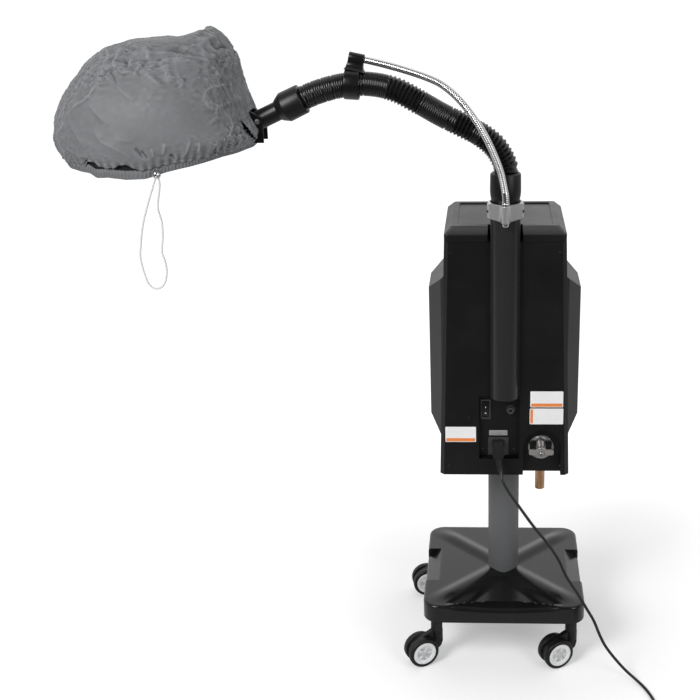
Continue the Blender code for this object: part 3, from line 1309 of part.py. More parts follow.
def gooseneck_points():
    top = FERRULE_BOTTOM + FERRULE_LENGTH
    points = [Vector((0.0, FERRULE_Y, top)), Vector((0.0, FERRULE_Y, top + 0.006))]
    points += [
        Vector((x * ARM_UNIT, FERRULE_Y + y * ARM_UNIT, arm_height(x, bow))) for x, y, bow in GOOSENECK_ROUTE
    ]
    sleeve, aim = sleeve_line()
    points += [sleeve - aim * CLIP_SLEEVE_LENGTH * 0.9, sleeve, sleeve + aim * CLIP_SLEEVE_LENGTH * 0.4]
    return smooth_route(points, GOOSENECK_DIAMETER * 1.3)


def sleeve_line():
    """Middle and direction of the clip's sleeve, over the hose and along the gooseneck's end."""
    last_x, _, last_bow = GOOSENECK_ROUTE[-1]
    middle = Vector((CLIP_X + CLIP_SLEEVE_AHEAD, ARM_Y, hose_height_at_clip() + CLIP_RISE))
    aim = Vector((middle.x - last_x * ARM_UNIT, 0.0, middle.z - arm_height(last_x, last_bow))).normalized()
    return middle, aim


CLIP_RISE = HOSE_DIAMETER / 2 + CLIP_WALL + CLIP_SLEEVE_DIAMETER / 2 + CLIP_NECK_RISE


def hose_height_at_clip():
    nearest = min(hose_line(0.004), key=lambda point: abs(point.x - CLIP_X))
    return nearest.z


def gooseneck(holder, back):
    line = gooseneck_points()
    thick = FERRULE_DIAMETER / 2
    thin = GOOSENECK_DIAMETER / 2
    foot = Vector((0.0, FERRULE_Y, FERRULE_BOTTOM))
    rise = Vector((0.0, 0.0, 1.0))
    shoulder = foot + rise * FERRULE_LENGTH
    points = [foot, foot + rise * 0.004, shoulder - rise * 0.001] + line
    radii = [thick * 0.5, thick, thick] + [thin] * len(line)
    node = bpy.data.objects.new("gooseneck", tube_curve("gooseneck", points, thin, 3, radii))
    node.location = back
    place_curve(node, CHROME, holder)


def hose_line(step):
    """Middle line of the hose, straight where it enters each cuff."""
    start = Vector((0.0, ARM_Y, CUFF_LOWER_TOP + CLEARANCE))
    end = CUFF_UPPER_START - PIPE_AXIS * CLEARANCE
    points = [start, start + Vector((0.0, 0.0, HOSE_STRAIGHT))]
    points += [Vector((x * ARM_UNIT, ARM_Y, arm_height(x, bow))) for x, bow in HOSE_ROUTE]
    points += [end - PIPE_AXIS * HOSE_STRAIGHT, end]
    line = smooth_route(points, step)
    line[1] = start + Vector((0.0, 0.0, (line[1] - start).length))
    line[-2] = end - PIPE_AXIS * (line[-2] - end).length
    return line


def hose(holder, back):
    length = route_length(hose_line(0.004))
    rings = hose_line(length / (2 * HOSE_RIBS))
    crest = HOSE_DIAMETER / 2
    valley = crest - HOSE_RIB_DEPTH
    radii = [crest if number % 2 else valley for number in range(len(rings))]
    shape = tube_mesh("hose", rings, crest, 2, radii)
    node = link("hose", to_mesh(shape, "hose", 60.0), BLACK, holder, back)
    bore_line = rings[:1] + rings[3:-3:6] + rings[-1:]
    first = bore_line[0] - Vector((0.0, 0.0, HOSE_STRAIGHT))
    last = bore_line[-1] + PIPE_AXIS * HOSE_STRAIGHT
    cut(node, tube_mesh("hose_bore", [first] + bore_line + [last], HOSE_BORE / 2, 2))
    print("hose length", round(length, 4))


def cuffs(holder, back):
    full = CUFF_DIAMETER / 2
    neck = full - 0.006
    lower = (
        (SPIGOT_DIAMETER / 2 + CLEARANCE, CUFF_LOWER_BOTTOM), (neck, CUFF_LOWER_BOTTOM),
        (full - 0.001, CUFF_LOWER_BOTTOM + CUFF_TAPER), (full, CUFF_LOWER_BOTTOM + CUFF_TAPER * 1.6),
        (full - 0.001, CUFF_LOWER_TOP - 0.003), (full - 0.003, CUFF_LOWER_TOP),
        (SPIGOT_DIAMETER / 2 + CLEARANCE, CUFF_LOWER_TOP),
    )
    shape = moved(turned(lower, ring=True), Matrix.Translation((0.0, ARM_Y, 0.0)))
    link("hose_cuff_lower", to_mesh(shape, "hose_cuff_lower"), BLACK, holder, back)
    bore = PIPE_DIAMETER / 2 + CLEARANCE
    length = CUFF_UPPER_LENGTH
    upper = (
        (bore, 0.0), (full - 0.003, 0.0), (full, 0.003), (full, length - CUFF_TAPER),
        (neck - 0.001, length), (bore, length),
    )
    shape = moved(turned(upper, ring=True), along(CUFF_UPPER_START, PIPE_AXIS))
    link("hose_cuff_upper", to_mesh(shape, "hose_cuff_upper"), BLACK, holder, back)


def nozzle_pipe(holder, back):
    radius = PIPE_DIAMETER / 2
    start = CUFF_UPPER_END - PIPE_AXIS * PIPE_IN_CUFF
    length = PIPE_IN_CUFF + CUFF_TO_PIVOT + PIPE_PAST_PIVOT
    shape = moved(pipe(radius, radius - PIPE_WALL, 0.0, length, 24), along(start, PIPE_AXIS))
    node = link("nozzle_pipe", to_mesh(shape, "nozzle_pipe"), BLACK, holder, back)
    hole = rod(PIVOT_BOLT_DIAMETER / 2 + CLEARANCE, -0.1, 0.1, SMALL_STEPS)
    cut(node, moved(hole, Matrix.Translation((0.0, ARM_Y, 0.0)) @ along_y(PIVOT_X, PIVOT_Z)))


def hose_clip(holder, back):
    line = hose_line(0.004)
    number = min(range(len(line)), key=lambda item: abs(line[item].x - CLIP_X))
    middle = line[number]
    aim = (line[number + 3] - line[number - 3]).normalized()
    inner = HOSE_DIAMETER / 2 + 4 * CLEARANCE
    outer = inner + CLIP_WALL
    half = CLIP_LENGTH / 2
    clip_ring = moved(pipe(outer, inner, -half, half, 24), along(middle, aim))
    clip = link("hose_clip", to_mesh(clip_ring, "hose_clip"), BLACK, holder, back)
    sleeve, sleeve_aim = sleeve_line()
    sleeve_radius = CLIP_SLEEVE_DIAMETER / 2
    post_half = sleeve_radius * 0.8
    post_reach = CLIP_SLEEVE_LENGTH * 0.42
    post_x = (middle.x + sleeve.x) / 2
    add(clip, block(
        (post_x - post_reach, post_x + post_reach), (ARM_Y - post_half, ARM_Y + post_half),
        (middle.z + inner + CLIP_WALL * 0.4, sleeve.z - sleeve_radius * 0.5),
    ))
    reach = CLIP_SLEEVE_LENGTH / 2
    add(clip, moved(rod(sleeve_radius, -reach, reach, SMALL_STEPS), along(sleeve, sleeve_aim)))
    points = gooseneck_points()
    end = max(point.z for point in points[-3:])
    print("gooseneck end height", round(end, 4))
    tail = [point for point in points if (point - sleeve).length < CLIP_SLEEVE_LENGTH * 1.5]
    tail.append(tail[-1] + (tail[-1] - tail[-2]).normalized() * CLEARANCE)
    cut(clip, tube_mesh("sleeve_bore", tail, GOOSENECK_DIAMETER / 2 + CLEARANCE, 3))


def pivot_bolts(holder, back):
    shank = PIVOT_BOLT_DIAMETER / 2
    head = PIVOT_HEAD_DIAMETER / 2
    ear = PIPE_DIAMETER / 2 + BRACKET_EAR_PLAY + BRACKET_EAR + CLEARANCE
    tip = PIPE_DIAMETER / 2 - PIPE_WALL
    profile = (
        (0.0, tip), (shank, tip), (shank, ear), (head, ear), (head, ear + PIVOT_HEAD_LENGTH * 0.6),
        (head * 0.6, ear + PIVOT_HEAD_LENGTH), (0.0, ear + PIVOT_HEAD_LENGTH),
    )
    for name, towards_rear in (("pivot_bolt_rear", True), ("pivot_bolt_front", False)):
        place = Matrix.Translation((0.0, ARM_Y, 0.0)) @ along_y(PIVOT_X, PIVOT_Z, towards_rear)
        link(name, to_mesh(moved(turned(profile, SMALL_STEPS), place), name), STEEL, holder, back)


# Bonnet

def squared(share):
    """Sine or cosine for an outline that is squarer than an ellipse."""
    return math.copysign(abs(share) ** (2.0 / BONNET_SQUARENESS), share)


def bonnet_point(angle, rise, shrink=0.0):
    """Point of the bonnet: angle round its middle, rise from 0 at the hem to 1 at the crown."""
    if rise < 0.2:
        z = BONNET_HEM_Z + (BONNET_BELLY_Z - BONNET_HEM_Z) * rise / 0.2
        size = BONNET_HEM_PULL + (1.0 - BONNET_HEM_PULL) * math.sin(math.pi / 2 * rise / 0.2)
        lean = 0.0
    else:
        climb = math.pi / 2 * (rise - 0.2) / 0.8
        height = math.sin(climb) ** 1.05
        z = BONNET_BELLY_Z + (BONNET_CROWN_Z - BONNET_BELLY_Z) * height
        size = math.cos(climb) ** 0.70 if rise < 1.0 else 0.0
        lean = BONNET_LEAN * height ** 2.4
    across = (BONNET_HALF_LENGTH - shrink) * size * squared(math.cos(angle))
    deep = (BONNET_HALF_DEPTH - shrink) * size * squared(math.sin(angle))
    fold = BONNET_FOLD_DEPTH * math.cos(BONNET_FOLDS * angle) * max(0.0, 1.0 - 1.6 * rise)
    if shrink > 0.0:
        fold = 0.0
    grow = 1.0 + fold / BONNET_HALF_LENGTH
    hem_rise = BONNET_HEM_RISE * across * max(0.0, 1.0 - 2.0 * rise)
    drop = shrink * rise
    return Vector((BONNET_X + lean + across * grow, ARM_Y + deep * grow, z + hem_rise - drop))


def bonnet(holder, back):
    columns = 4 * BONNET_FOLDS
    rows = 9
    shape = bmesh.new()
    rings = []
    for row in range(rows):
        rise = row / rows
        rings.append([
            shape.verts.new(bonnet_point(math.tau * column / columns, rise)) for column in range(columns)
        ])
    crown = shape.verts.new(bonnet_point(0.0, 1.0))
    for low, high in zip(rings, rings[1:]):
        for column in range(columns):
            follow = (column + 1) % columns
            shape.faces.new((low[column], low[follow], high[follow], high[column]))
    for column in range(columns):
        shape.faces.new((rings[-1][column], rings[-1][(column + 1) % columns], crown))
    node = link("bonnet", to_mesh(shape, "bonnet", 60.0), FABRIC, holder, back)
    wall = node.modifiers.new("cloth", "SOLIDIFY")
    wall.thickness = BONNET_WALL
    wall.offset = -1.0
    wall.use_even_offset = False
    half_width = PIPE_DIAMETER / 2 + BRACKET_EAR_PLAY + BRACKET_EAR + CLEARANCE
    half_height = BRACKET_HEIGHT / 2 + BONNET_WINDOW_MARGIN
    middle = PIVOT_Z - 0.005
    cut(node, block(
        (BONNET_X + 0.1, 0.0), (ARM_Y - half_width, ARM_Y + half_width),
        (middle - half_height, middle + half_height),
    ))


def hood_bracket(holder, back):
    front = BRACKET_PLATE_X + BRACKET_PLATE_THICKNESS
    half_span = BRACKET_SPAN / 2
    half_height = BRACKET_HEIGHT / 2
    middle = PIVOT_Z - 0.005
    plate = block(
        (BRACKET_PLATE_X, front), (ARM_Y - half_span, ARM_Y + half_span),
        (middle - half_height, middle + half_height),
    )
    bracket = link("hood_bracket", to_mesh(plate, "hood_bracket"), BLACK, holder, back)
    near = PIPE_DIAMETER / 2 + BRACKET_EAR_PLAY
    nose = PIVOT_X + 0.011
    outline = (
        (front - BRACKET_PLATE_THICKNESS / 2, middle - half_height), (nose, middle - half_height),
        (nose, PIVOT_Z + 0.006), (nose - 0.006, PIVOT_Z + 0.011),
        (front - BRACKET_PLATE_THICKNESS / 2, middle + half_height),
    )
    for side in (-1, 1):
        low = ARM_Y + side * near
        high = low + side * BRACKET_EAR
        add(bracket, prism(outline, min(low, high), max(low, high), "Y"))
    hole = rod(PIVOT_BOLT_DIAMETER / 2 + CLEARANCE, -0.1, 0.1, SMALL_STEPS)
    cut(bracket, moved(hole, Matrix.Translation((0.0, ARM_Y, 0.0)) @ along_y(PIVOT_X, PIVOT_Z)))
    mouth = rod(BRACKET_HOLE / 2, -0.02, 0.02, 24)
    cut(bracket, moved(mouth, along(Vector((BRACKET_PLATE_X, ARM_Y, PIVOT_Z)), Vector((1.0, 0.0, 0.0)))))


def hood_hoops(holder, back):
    """Two wires from the bracket's ends over the bonnet to its far hem."""
    inset = BONNET_WALL + HOOP_GAP
    for name, side in (("hood_hoop_rear", -1), ("hood_hoop_front", 1)):
        foot = Vector((
            BRACKET_PLATE_X - CLEARANCE - HOOP_DIAMETER / 2,
            ARM_Y + side * (BRACKET_SPAN / 2 - 0.012),
            PIVOT_Z - 0.03,
        ))
        points = [foot, foot + Vector((-0.001, 0.0, 0.02)), foot + Vector((-0.006, side * 0.012, 0.06))]
        for share in (0.30, 0.42, 0.54, 0.66, 0.78, 0.90, 1.0):
            angle = side * math.pi * (0.10 + 0.80 * share)
            rise = 0.12 + 0.50 * math.sin(math.pi * share) ** 0.8
            points.append(bonnet_point(angle, rise, inset))
        line = smooth_route(points, 5 * HOOP_DIAMETER)
        node = bpy.data.objects.new(name, tube_curve(name, line, HOOP_DIAMETER / 2, 1))
        node.location = back
        place_curve(node, STEEL, holder)


def lock_place():
    """Middle of the cord lock, outside the hem on the rear side."""
    angle = math.radians(LOCK_HEM_ANGLE)
    hem = bonnet_point(angle, 0.0)
    return hem + Vector((0.0, -(LOCK_DIAMETER / 2 + 0.7 * BONNET_FOLD_DEPTH + CLEARANCE), 0.006))


def drawstring(holder, back):
    middle = lock_place()
    radius = LOCK_DIAMETER / 2
    profile = [(0.0, -radius)]
    for step in range(1, 8):
        angle = math.pi * (step / 8 - 0.5)
        profile.append((radius * math.cos(angle), radius * math.sin(angle)))
    profile.append((0.0, radius))
    ball = moved(turned(profile, SMALL_STEPS), Matrix.Translation(middle))
    link("cord_lock", to_mesh(ball, "cord_lock", 60.0), STEEL, holder, back)
    points = [middle + Vector((x * MM, 0.0, z * MM)) for x, z in STRING_ROUTE_MM]
    line = smooth_route(points, STRING_DIAMETER * 2.8)
    node = bpy.data.objects.new("drawstring", tube_curve("drawstring", line, STRING_DIAMETER / 2, 1))
    node.location = back
    place_curve(node, WHITE_CORD, holder)
    print("drawstring length", round(route_length(line), 4))


def stand_on_origin(root):
    """Shift the object so that the middle of its floor area, cords left out, is the origin."""
    bpy.context.view_layer.update()
    graph = bpy.context.evaluated_depsgraph_get()
    corners = []
    for node in bpy.context.scene.objects:
        if node.type == "EMPTY" or node.hide_render or node.name in CORD_NODES:
            continue
        shown = node.evaluated_get(graph)
        mesh = shown.to_mesh()
        corners += [shown.matrix_world @ vert.co for vert in mesh.vertices]
        shown.to_mesh_clear()
    low = Vector([min(corner[axis] for corner in corners) for axis in range(3)])
    high = Vector([max(corner[axis] for corner in corners) for axis in range(3)])
    root.location = (-(low.x + high.x) / 2, -(low.y + high.y) / 2, -low.z)


def build():
    clear_scene()
    root = empty("hair_steamer", (0.0, 0.0, 0.0))
    base_cover(root)
    base_plate(root)
    column(root)
    casters(root)
    rear_cover(root)
    front_shell(root)
    top_cover(root)
    bottom_tray(root)
    boiler_set(root)
    steam_spigot(root)
    drain_set(root)
    switch(root)
    fuse_holder(root)
    mains_inlet(root)
    mains_cord(root)
    front_controls(root)
    arm_axis = Vector((0.0, ARM_Y, 0.0))
    arm = empty("arm_axis", arm_axis, root)
    for make in (arm_collar, gooseneck, hose, cuffs, nozzle_pipe, hose_clip, pivot_bolts):
        make(arm, -arm_axis)
    tilt = empty("hood_tilt_axis", PIVOT - arm_axis, arm)
    for make in (hood_bracket, hood_hoops, bonnet, drawstring):
        make(tilt, -PIVOT)
    stand_on_origin(root)


build()
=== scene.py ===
"""Hair steamer in a white studio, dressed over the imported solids."""

import json
import math

import bmesh
import bpy
import numpy
from mathutils import Matrix, Vector, noise

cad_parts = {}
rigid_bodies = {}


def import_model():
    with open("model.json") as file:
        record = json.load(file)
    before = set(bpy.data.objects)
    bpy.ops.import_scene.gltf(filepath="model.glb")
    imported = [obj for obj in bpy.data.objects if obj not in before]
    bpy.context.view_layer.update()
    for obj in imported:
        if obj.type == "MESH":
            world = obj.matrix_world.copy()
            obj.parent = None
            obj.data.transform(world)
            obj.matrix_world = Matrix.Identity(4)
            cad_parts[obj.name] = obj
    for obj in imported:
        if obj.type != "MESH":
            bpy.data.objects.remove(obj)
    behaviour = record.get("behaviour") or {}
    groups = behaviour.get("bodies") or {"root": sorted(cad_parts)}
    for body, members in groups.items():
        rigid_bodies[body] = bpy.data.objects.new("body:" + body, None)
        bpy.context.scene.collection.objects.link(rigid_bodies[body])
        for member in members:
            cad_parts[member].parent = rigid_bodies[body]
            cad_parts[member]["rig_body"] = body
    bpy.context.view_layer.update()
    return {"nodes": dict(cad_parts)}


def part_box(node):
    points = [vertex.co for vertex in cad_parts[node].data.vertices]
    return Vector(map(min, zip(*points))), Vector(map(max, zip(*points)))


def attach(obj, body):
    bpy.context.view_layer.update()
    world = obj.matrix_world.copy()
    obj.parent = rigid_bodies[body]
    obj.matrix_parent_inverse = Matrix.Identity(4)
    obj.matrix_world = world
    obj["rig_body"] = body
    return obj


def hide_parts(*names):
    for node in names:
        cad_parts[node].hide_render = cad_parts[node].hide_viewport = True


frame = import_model()
NODES = frame["nodes"]

MM = 0.001
UP = Vector((0.0, 0.0, 1.0))
REAR = Vector((0.0, -1.0, 0.0))
COLUMN_LOW, COLUMN_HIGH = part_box("column")
HOME = Vector(((COLUMN_LOW.x + COLUMN_HIGH.x) / 2, (COLUMN_LOW.y + COLUMN_HIGH.y) / 2, 0.0))


def at(x, y, z):
    """Row-frame point from millimetres: X and Y from the column axis, Z from the floor."""
    return HOME + Vector((x, y, z)) * MM


# Shader nodes

def node_tree(holder):
    holder.use_nodes = True
    tree = holder.node_tree
    tree.nodes.clear()
    return tree


def feed(tree, socket, value):
    """Link another node's socket to this one, or set a plain value on it."""
    if isinstance(value, bpy.types.NodeSocket):
        tree.links.new(value, socket)
    else:
        socket.default_value = value


def wired(tree, kind, *given, operation=None, give=0, **named):
    """New node, fed by place and by socket name; returns one of its outputs."""
    node = tree.nodes.new(kind)
    if operation:
        node.operation = operation
    for socket, value in zip(node.inputs, given):
        feed(tree, socket, value)
    for name, value in named.items():
        feed(tree, node.inputs[name.replace("_", " ")], value)
    return node.outputs[give] if node.outputs else None


def spanned(tree, value, near, far, soft=False):
    """Value between two (place, value) pairs, level beyond them."""
    made = wired(
        tree, "ShaderNodeMapRange", value, From_Min=near[0], To_Min=near[1], From_Max=far[0], To_Max=far[1],
    )
    if soft:
        made.node.interpolation_type = "SMOOTHSTEP"
    return made


def mixed(tree, kind, share, first, second, blend="MIX"):
    """Number or colour between two."""
    node = tree.nodes.new("ShaderNodeMix")
    node.data_type = kind
    node.blend_type = blend
    for name, value in (("Factor", share), ("A", first), ("B", second)):
        feed(tree, node.inputs[name], value)
    return node.outputs["Result"]


def first_node(tree, kind):
    return next(node for node in tree.nodes if node.type == kind)


# Stage, light and camera

PURE_WHITE = (1.0, 1.0, 1.0, 1.0)
FLOOR_WHITE = (0.80, 0.80, 0.80, 1.0)
CAMERA_PLACE = (-27.7, -2553.0, 1721.0)
CAMERA_TURN, CAMERA_DROP, CAMERA_ROLL = 2.713, 20.761, -0.937
CAMERA_LENS = 59.6
CAMERA_SHIFT = -0.13


def seen_directly(tree):
    """One for rays from the camera and through glass, otherwise zero."""
    path = tree.nodes.new("ShaderNodeLightPath").outputs
    return wired(
        tree, "ShaderNodeMath", path["Is Camera Ray"], path["Is Transmission Ray"], operation="MAXIMUM",
    )


def front_to_back(tree, vector, near, far, sink=0.0):
    """Value that rises between two (place, value) pairs along Y, later where the vector points up."""
    along = (0.0, 1.0, -sink)
    reach = wired(tree, "ShaderNodeVectorMath", vector, along, operation="DOT_PRODUCT", give=1)
    return spanned(tree, reach, near, far, soft=True)


def studio_world():
    """White wall behind the object, a dim ceiling and a dim room on the viewer's side."""
    world = bpy.data.worlds.new("studio")
    bpy.context.scene.world = world
    tree = node_tree(world)
    where = tree.nodes.new("ShaderNodeTexCoord").outputs["Generated"]
    strength = front_to_back(tree, where, (-0.9, 0.12), (0.7, 1.0), 0.6)
    room = wired(tree, "ShaderNodeBackground", PURE_WHITE, strength)
    white = wired(tree, "ShaderNodeBackground", PURE_WHITE, 1.0)
    either = wired(tree, "ShaderNodeMixShader", seen_directly(tree), room, white)
    wired(tree, "ShaderNodeOutputWorld", either)


def studio_floor():
    """White floor that keeps the object's shadow, with painted shade round the object where its glow is
    weaker; mirrored, it darkens towards the viewer.
    """
    shape = bmesh.new()
    bmesh.ops.create_grid(shape, x_segments=2, y_segments=2, size=60.0)
    floor = linked("studio_floor", shape)
    look = bpy.data.materials.new("studio_floor")
    tree = node_tree(look)
    where = tree.nodes.new("ShaderNodeTexCoord").outputs["Object"]
    glossy = tree.nodes.new("ShaderNodeLightPath").outputs["Is Glossy Ray"]
    plain = wired(tree, "ShaderNodeBsdfDiffuse", FLOOR_WHITE)
    shade = front_to_back(tree, where, (-1.6, 0.10), (0.6, 0.80))
    mirrored = wired(tree, "ShaderNodeBsdfDiffuse", shade)
    either = wired(tree, "ShaderNodeMixShader", glossy, plain, mirrored)
    # Painted shade: the glow is weaker near the object, so the floor darkens round the base beyond its real
    # shadow.
    far = wired(tree, "ShaderNodeVectorMath", where, HOME, operation="DISTANCE", give=1)
    lift = spanned(tree, far, (0.3, 0.29), (1.3, 0.75), soft=True)
    share = wired(tree, "ShaderNodeMath", seen_directly(tree), lift, operation="MULTIPLY")
    glow = wired(tree, "ShaderNodeEmission", Strength=share)
    wired(tree, "ShaderNodeOutputMaterial", wired(tree, "ShaderNodeAddShader", either, glow))
    floor.data.materials.append(look)


def soft_light(name, place, target, size, watts):
    lamp = bpy.data.lights.new(name, "AREA")
    lamp.shape = "RECTANGLE"
    lamp.size, lamp.size_y = size
    lamp.energy = watts
    holder = bpy.data.objects.new(name, lamp)
    holder.location = place
    holder.rotation_mode = "QUATERNION"
    holder.rotation_quaternion = (target - place).to_track_quat("-Z", "Y")
    bpy.context.scene.collection.objects.link(holder)


def studio_camera():
    lens = bpy.data.cameras.new("camera")
    lens.lens = CAMERA_LENS
    lens.sensor_width = 36.0
    lens.shift_x = CAMERA_SHIFT
    lens.clip_end = 200.0
    camera = bpy.data.objects.new("camera", lens)
    camera.location = at(*CAMERA_PLACE)
    turn = Matrix.Rotation(math.radians(CAMERA_TURN), 3, "Z")
    drop = Matrix.Rotation(math.radians(90.0 - CAMERA_DROP), 3, "X")
    roll = Matrix.Rotation(math.radians(CAMERA_ROLL), 3, "Z")
    camera.rotation_euler = (turn @ drop @ roll).to_euler()
    bpy.context.scene.collection.objects.link(camera)
    bpy.context.scene.camera = camera


def studio():
    bpy.context.scene.view_settings.view_transform = "Standard"
    studio_world()
    studio_floor()
    middle = at(-200, 0, 900)
    soft_light("key", at(-1900, -2300, 2700), middle, (1.3, 1.6), 83.0)
    soft_light("fill", at(1900, -2300, 2000), middle, (1.4, 2.2), 35.0)
    soft_light("overhead", at(-200, 500, 3300), middle, (3.0, 2.0), 8.0)
    studio_camera()


# Materials

def group_sockets(tree, names, direction):
    for name, kind, value in names:
        socket = tree.interface.new_socket(name=name, in_out=direction, socket_type=kind)
        if value is not None:
            socket.default_value = value


def mottled_group():
    """Shared look of moulded, painted and plated surfaces: cloudy colour, fine grain, uneven gloss."""
    tree = bpy.data.node_groups.new("mottled", "ShaderNodeTree")
    group_sockets(tree, (
        ("Colour", "NodeSocketColor", (0.5, 0.5, 0.5, 1.0)),
        ("Second", "NodeSocketColor", (0.4, 0.4, 0.4, 1.0)),
        ("Cloud Scale", "NodeSocketFloat", 8.0),
        ("Grain Scale", "NodeSocketFloat", 900.0),
        ("Grain Depth", "NodeSocketFloat", 0.00005),
        ("Smooth", "NodeSocketFloat", 0.3),
        ("Rough", "NodeSocketFloat", 0.5),
    ), "INPUT")
    group_sockets(tree, (
        ("Colour", "NodeSocketColor", None),
        ("Roughness", "NodeSocketFloat", None),
        ("Normal", "NodeSocketVector", None),
    ), "OUTPUT")
    given = tree.nodes.new("NodeGroupInput").outputs
    made = tree.nodes.new("NodeGroupOutput").inputs
    where = tree.nodes.new("ShaderNodeTexCoord").outputs["Object"]
    cloud = wired(tree, "ShaderNodeTexNoise", where, Scale=given["Cloud Scale"], Detail=5.0, Roughness=0.6)
    grain = wired(tree, "ShaderNodeTexNoise", where, Scale=given["Grain Scale"], Detail=2.0)
    share = spanned(tree, cloud, (0.36, 0.0), (0.64, 1.0))
    feed(tree, made["Colour"], mixed(tree, "RGBA", share, given["Colour"], given["Second"]))
    feed(tree, made["Roughness"], spanned(tree, cloud, (0.3, given["Smooth"]), (0.7, given["Rough"])))
    bump = wired(tree, "ShaderNodeBump", Height=grain, Distance=given["Grain Depth"])
    feed(tree, made["Normal"], bump)
    return tree


MOTTLED = mottled_group()


def surface(name, colour, second, rough, metallic=0.0, cloud=8.0, grain=900.0, depth=0.00005, **sockets):
    """Principled material on the shared mottled look; other sockets are set on the shader itself."""
    made = bpy.data.materials.new(name)
    tree = node_tree(made)
    look = tree.nodes.new("ShaderNodeGroup")
    look.node_tree = MOTTLED
    settings = (
        ("Colour", (*colour, 1.0)), ("Second", (*second, 1.0)), ("Cloud Scale", cloud),
        ("Grain Scale", grain), ("Grain Depth", depth), ("Smooth", rough[0]), ("Rough", rough[1]),
    )
    for socket, value in settings:
        look.inputs[socket].default_value = value
    shader = wired(
        tree, "ShaderNodeBsdfPrincipled", look.outputs["Colour"], Roughness=look.outputs["Roughness"],
        Normal=look.outputs["Normal"], Metallic=metallic, **sockets,
    )
    wired(tree, "ShaderNodeOutputMaterial", shader)
    return made


STREAKS = (12.0, 46.0, 17.0)
STREAK_TURN = math.radians(45.0)
TUBE_START, TUBE_POLISHED = -143.5, -146.0
# Colour of the steam tube: lighter than the moulding as a painted sheen; its lower roughness is real polish.
TUBE_PAINTED_SHEEN = (0.021, 0.0213, 0.022, 1.0)
TUBE_ROUGH = 0.17
MOULDING = ((0.0050, 0.0051, 0.0054), (0.0070, 0.0071, 0.0074), (0.30, 0.42))


def cloth_surface():
    """Coated woven cloth: crossed threads, streaks along the middle panel with a painted sheen, crests paler
    than valleys as painted highlight and painted shade.
    """
    made = surface(
        "bonnet_cloth", (0.147, 0.152, 0.159), (0.128, 0.133, 0.139), (0.50, 0.62), cloud=14.0,
        Specular_IOR_Level=0.40,
    )
    tree = made.node_tree
    shader, look = first_node(tree, "BSDF_PRINCIPLED"), first_node(tree, "GROUP")
    where = tree.nodes.new("ShaderNodeTexCoord").outputs["Object"]
    threads = []
    for direction in ("X", "Z"):
        thread = wired(tree, "ShaderNodeTexWave", where, Scale=520.0, Distortion=0.4).node
        thread.bands_direction = direction
        threads.append(thread.outputs["Fac"])
    crossed = wired(tree, "ShaderNodeMath", *threads, operation="MULTIPLY")
    lay = wired(tree, "ShaderNodeMapping", where, Rotation=(0.0, STREAK_TURN, 0.0), Scale=STREAKS)
    crease = wired(tree, "ShaderNodeTexNoise", lay, Scale=1.0, Detail=2.5, Distortion=0.8)
    middle = wired(tree, "ShaderNodeMath", crease, 0.5, operation="SUBTRACT")
    sharp = spanned(
        tree, wired(tree, "ShaderNodeMath", middle, operation="ABSOLUTE"), (0.0, 1.0), (0.10, 0.0),
    )
    normal = tree.nodes.new("ShaderNodeNewGeometry").outputs["True Normal"]
    sideways = wired(tree, "ShaderNodeSeparateXYZ", normal, give=1)
    loose = spanned(
        tree, wired(tree, "ShaderNodeMath", sideways, operation="ABSOLUTE"), (0.46, 1.0), (0.66, 0.0),
    )
    streak = wired(tree, "ShaderNodeMath", sharp, loose, operation="MULTIPLY")
    bent = tree.nodes.new("ShaderNodeAttribute")
    bent.attribute_name = "crease"
    # Painted light: the streaks are painted paler as sheen, and the bend paints crests lighter and valleys
    # darker as highlight and shade.
    painted_sheen_and_shade = wired(tree, "ShaderNodeMath", streak, 1.1, bent.outputs["Fac"], operation="MULTIPLY_ADD")
    tone = spanned(tree, painted_sheen_and_shade, (-1.0, 0.42), (1.0, 1.58))
    weave = wired(tree, "ShaderNodeBump", Height=crossed, Distance=0.00008, Strength=0.6)
    folds = wired(tree, "ShaderNodeBump", Height=streak, Normal=weave, Distance=0.0055, Strength=0.80)
    colour_with_painted_light = mixed(tree, "RGBA", 1.0, look.outputs["Colour"], tone, "MULTIPLY")
    feed(tree, shader.inputs["Base Color"], colour_with_painted_light)
    feed(tree, shader.inputs["Normal"], folds)
    return made


def rear_surface():
    """Black moulding that is polished on the steam tube, which stands out behind the flat cover; the tube's
    colour is also painted lighter as a painted sheen.
    """
    made = surface("rear_moulding", *MOULDING, Specular_IOR_Level=0.36)
    tree = made.node_tree
    shader, look = first_node(tree, "BSDF_PRINCIPLED"), first_node(tree, "GROUP")
    where = tree.nodes.new("ShaderNodeTexCoord").outputs["Object"]
    rearward = wired(tree, "ShaderNodeSeparateXYZ", where, give=1)
    tube = spanned(tree, rearward, (at(0, TUBE_POLISHED, 0).y, 1.0), (at(0, TUBE_START, 0).y, 0.0))
    # Painted sheen: the tube's colour is lightened.
    colour_with_painted_light = mixed(tree, "RGBA", tube, look.outputs["Colour"], TUBE_PAINTED_SHEEN)
    feed(tree, shader.inputs["Base Color"], colour_with_painted_light)
    feed(tree, shader.inputs["Roughness"], mixed(tree, "FLOAT", tube, look.outputs["Roughness"], TUBE_ROUGH))
    return made


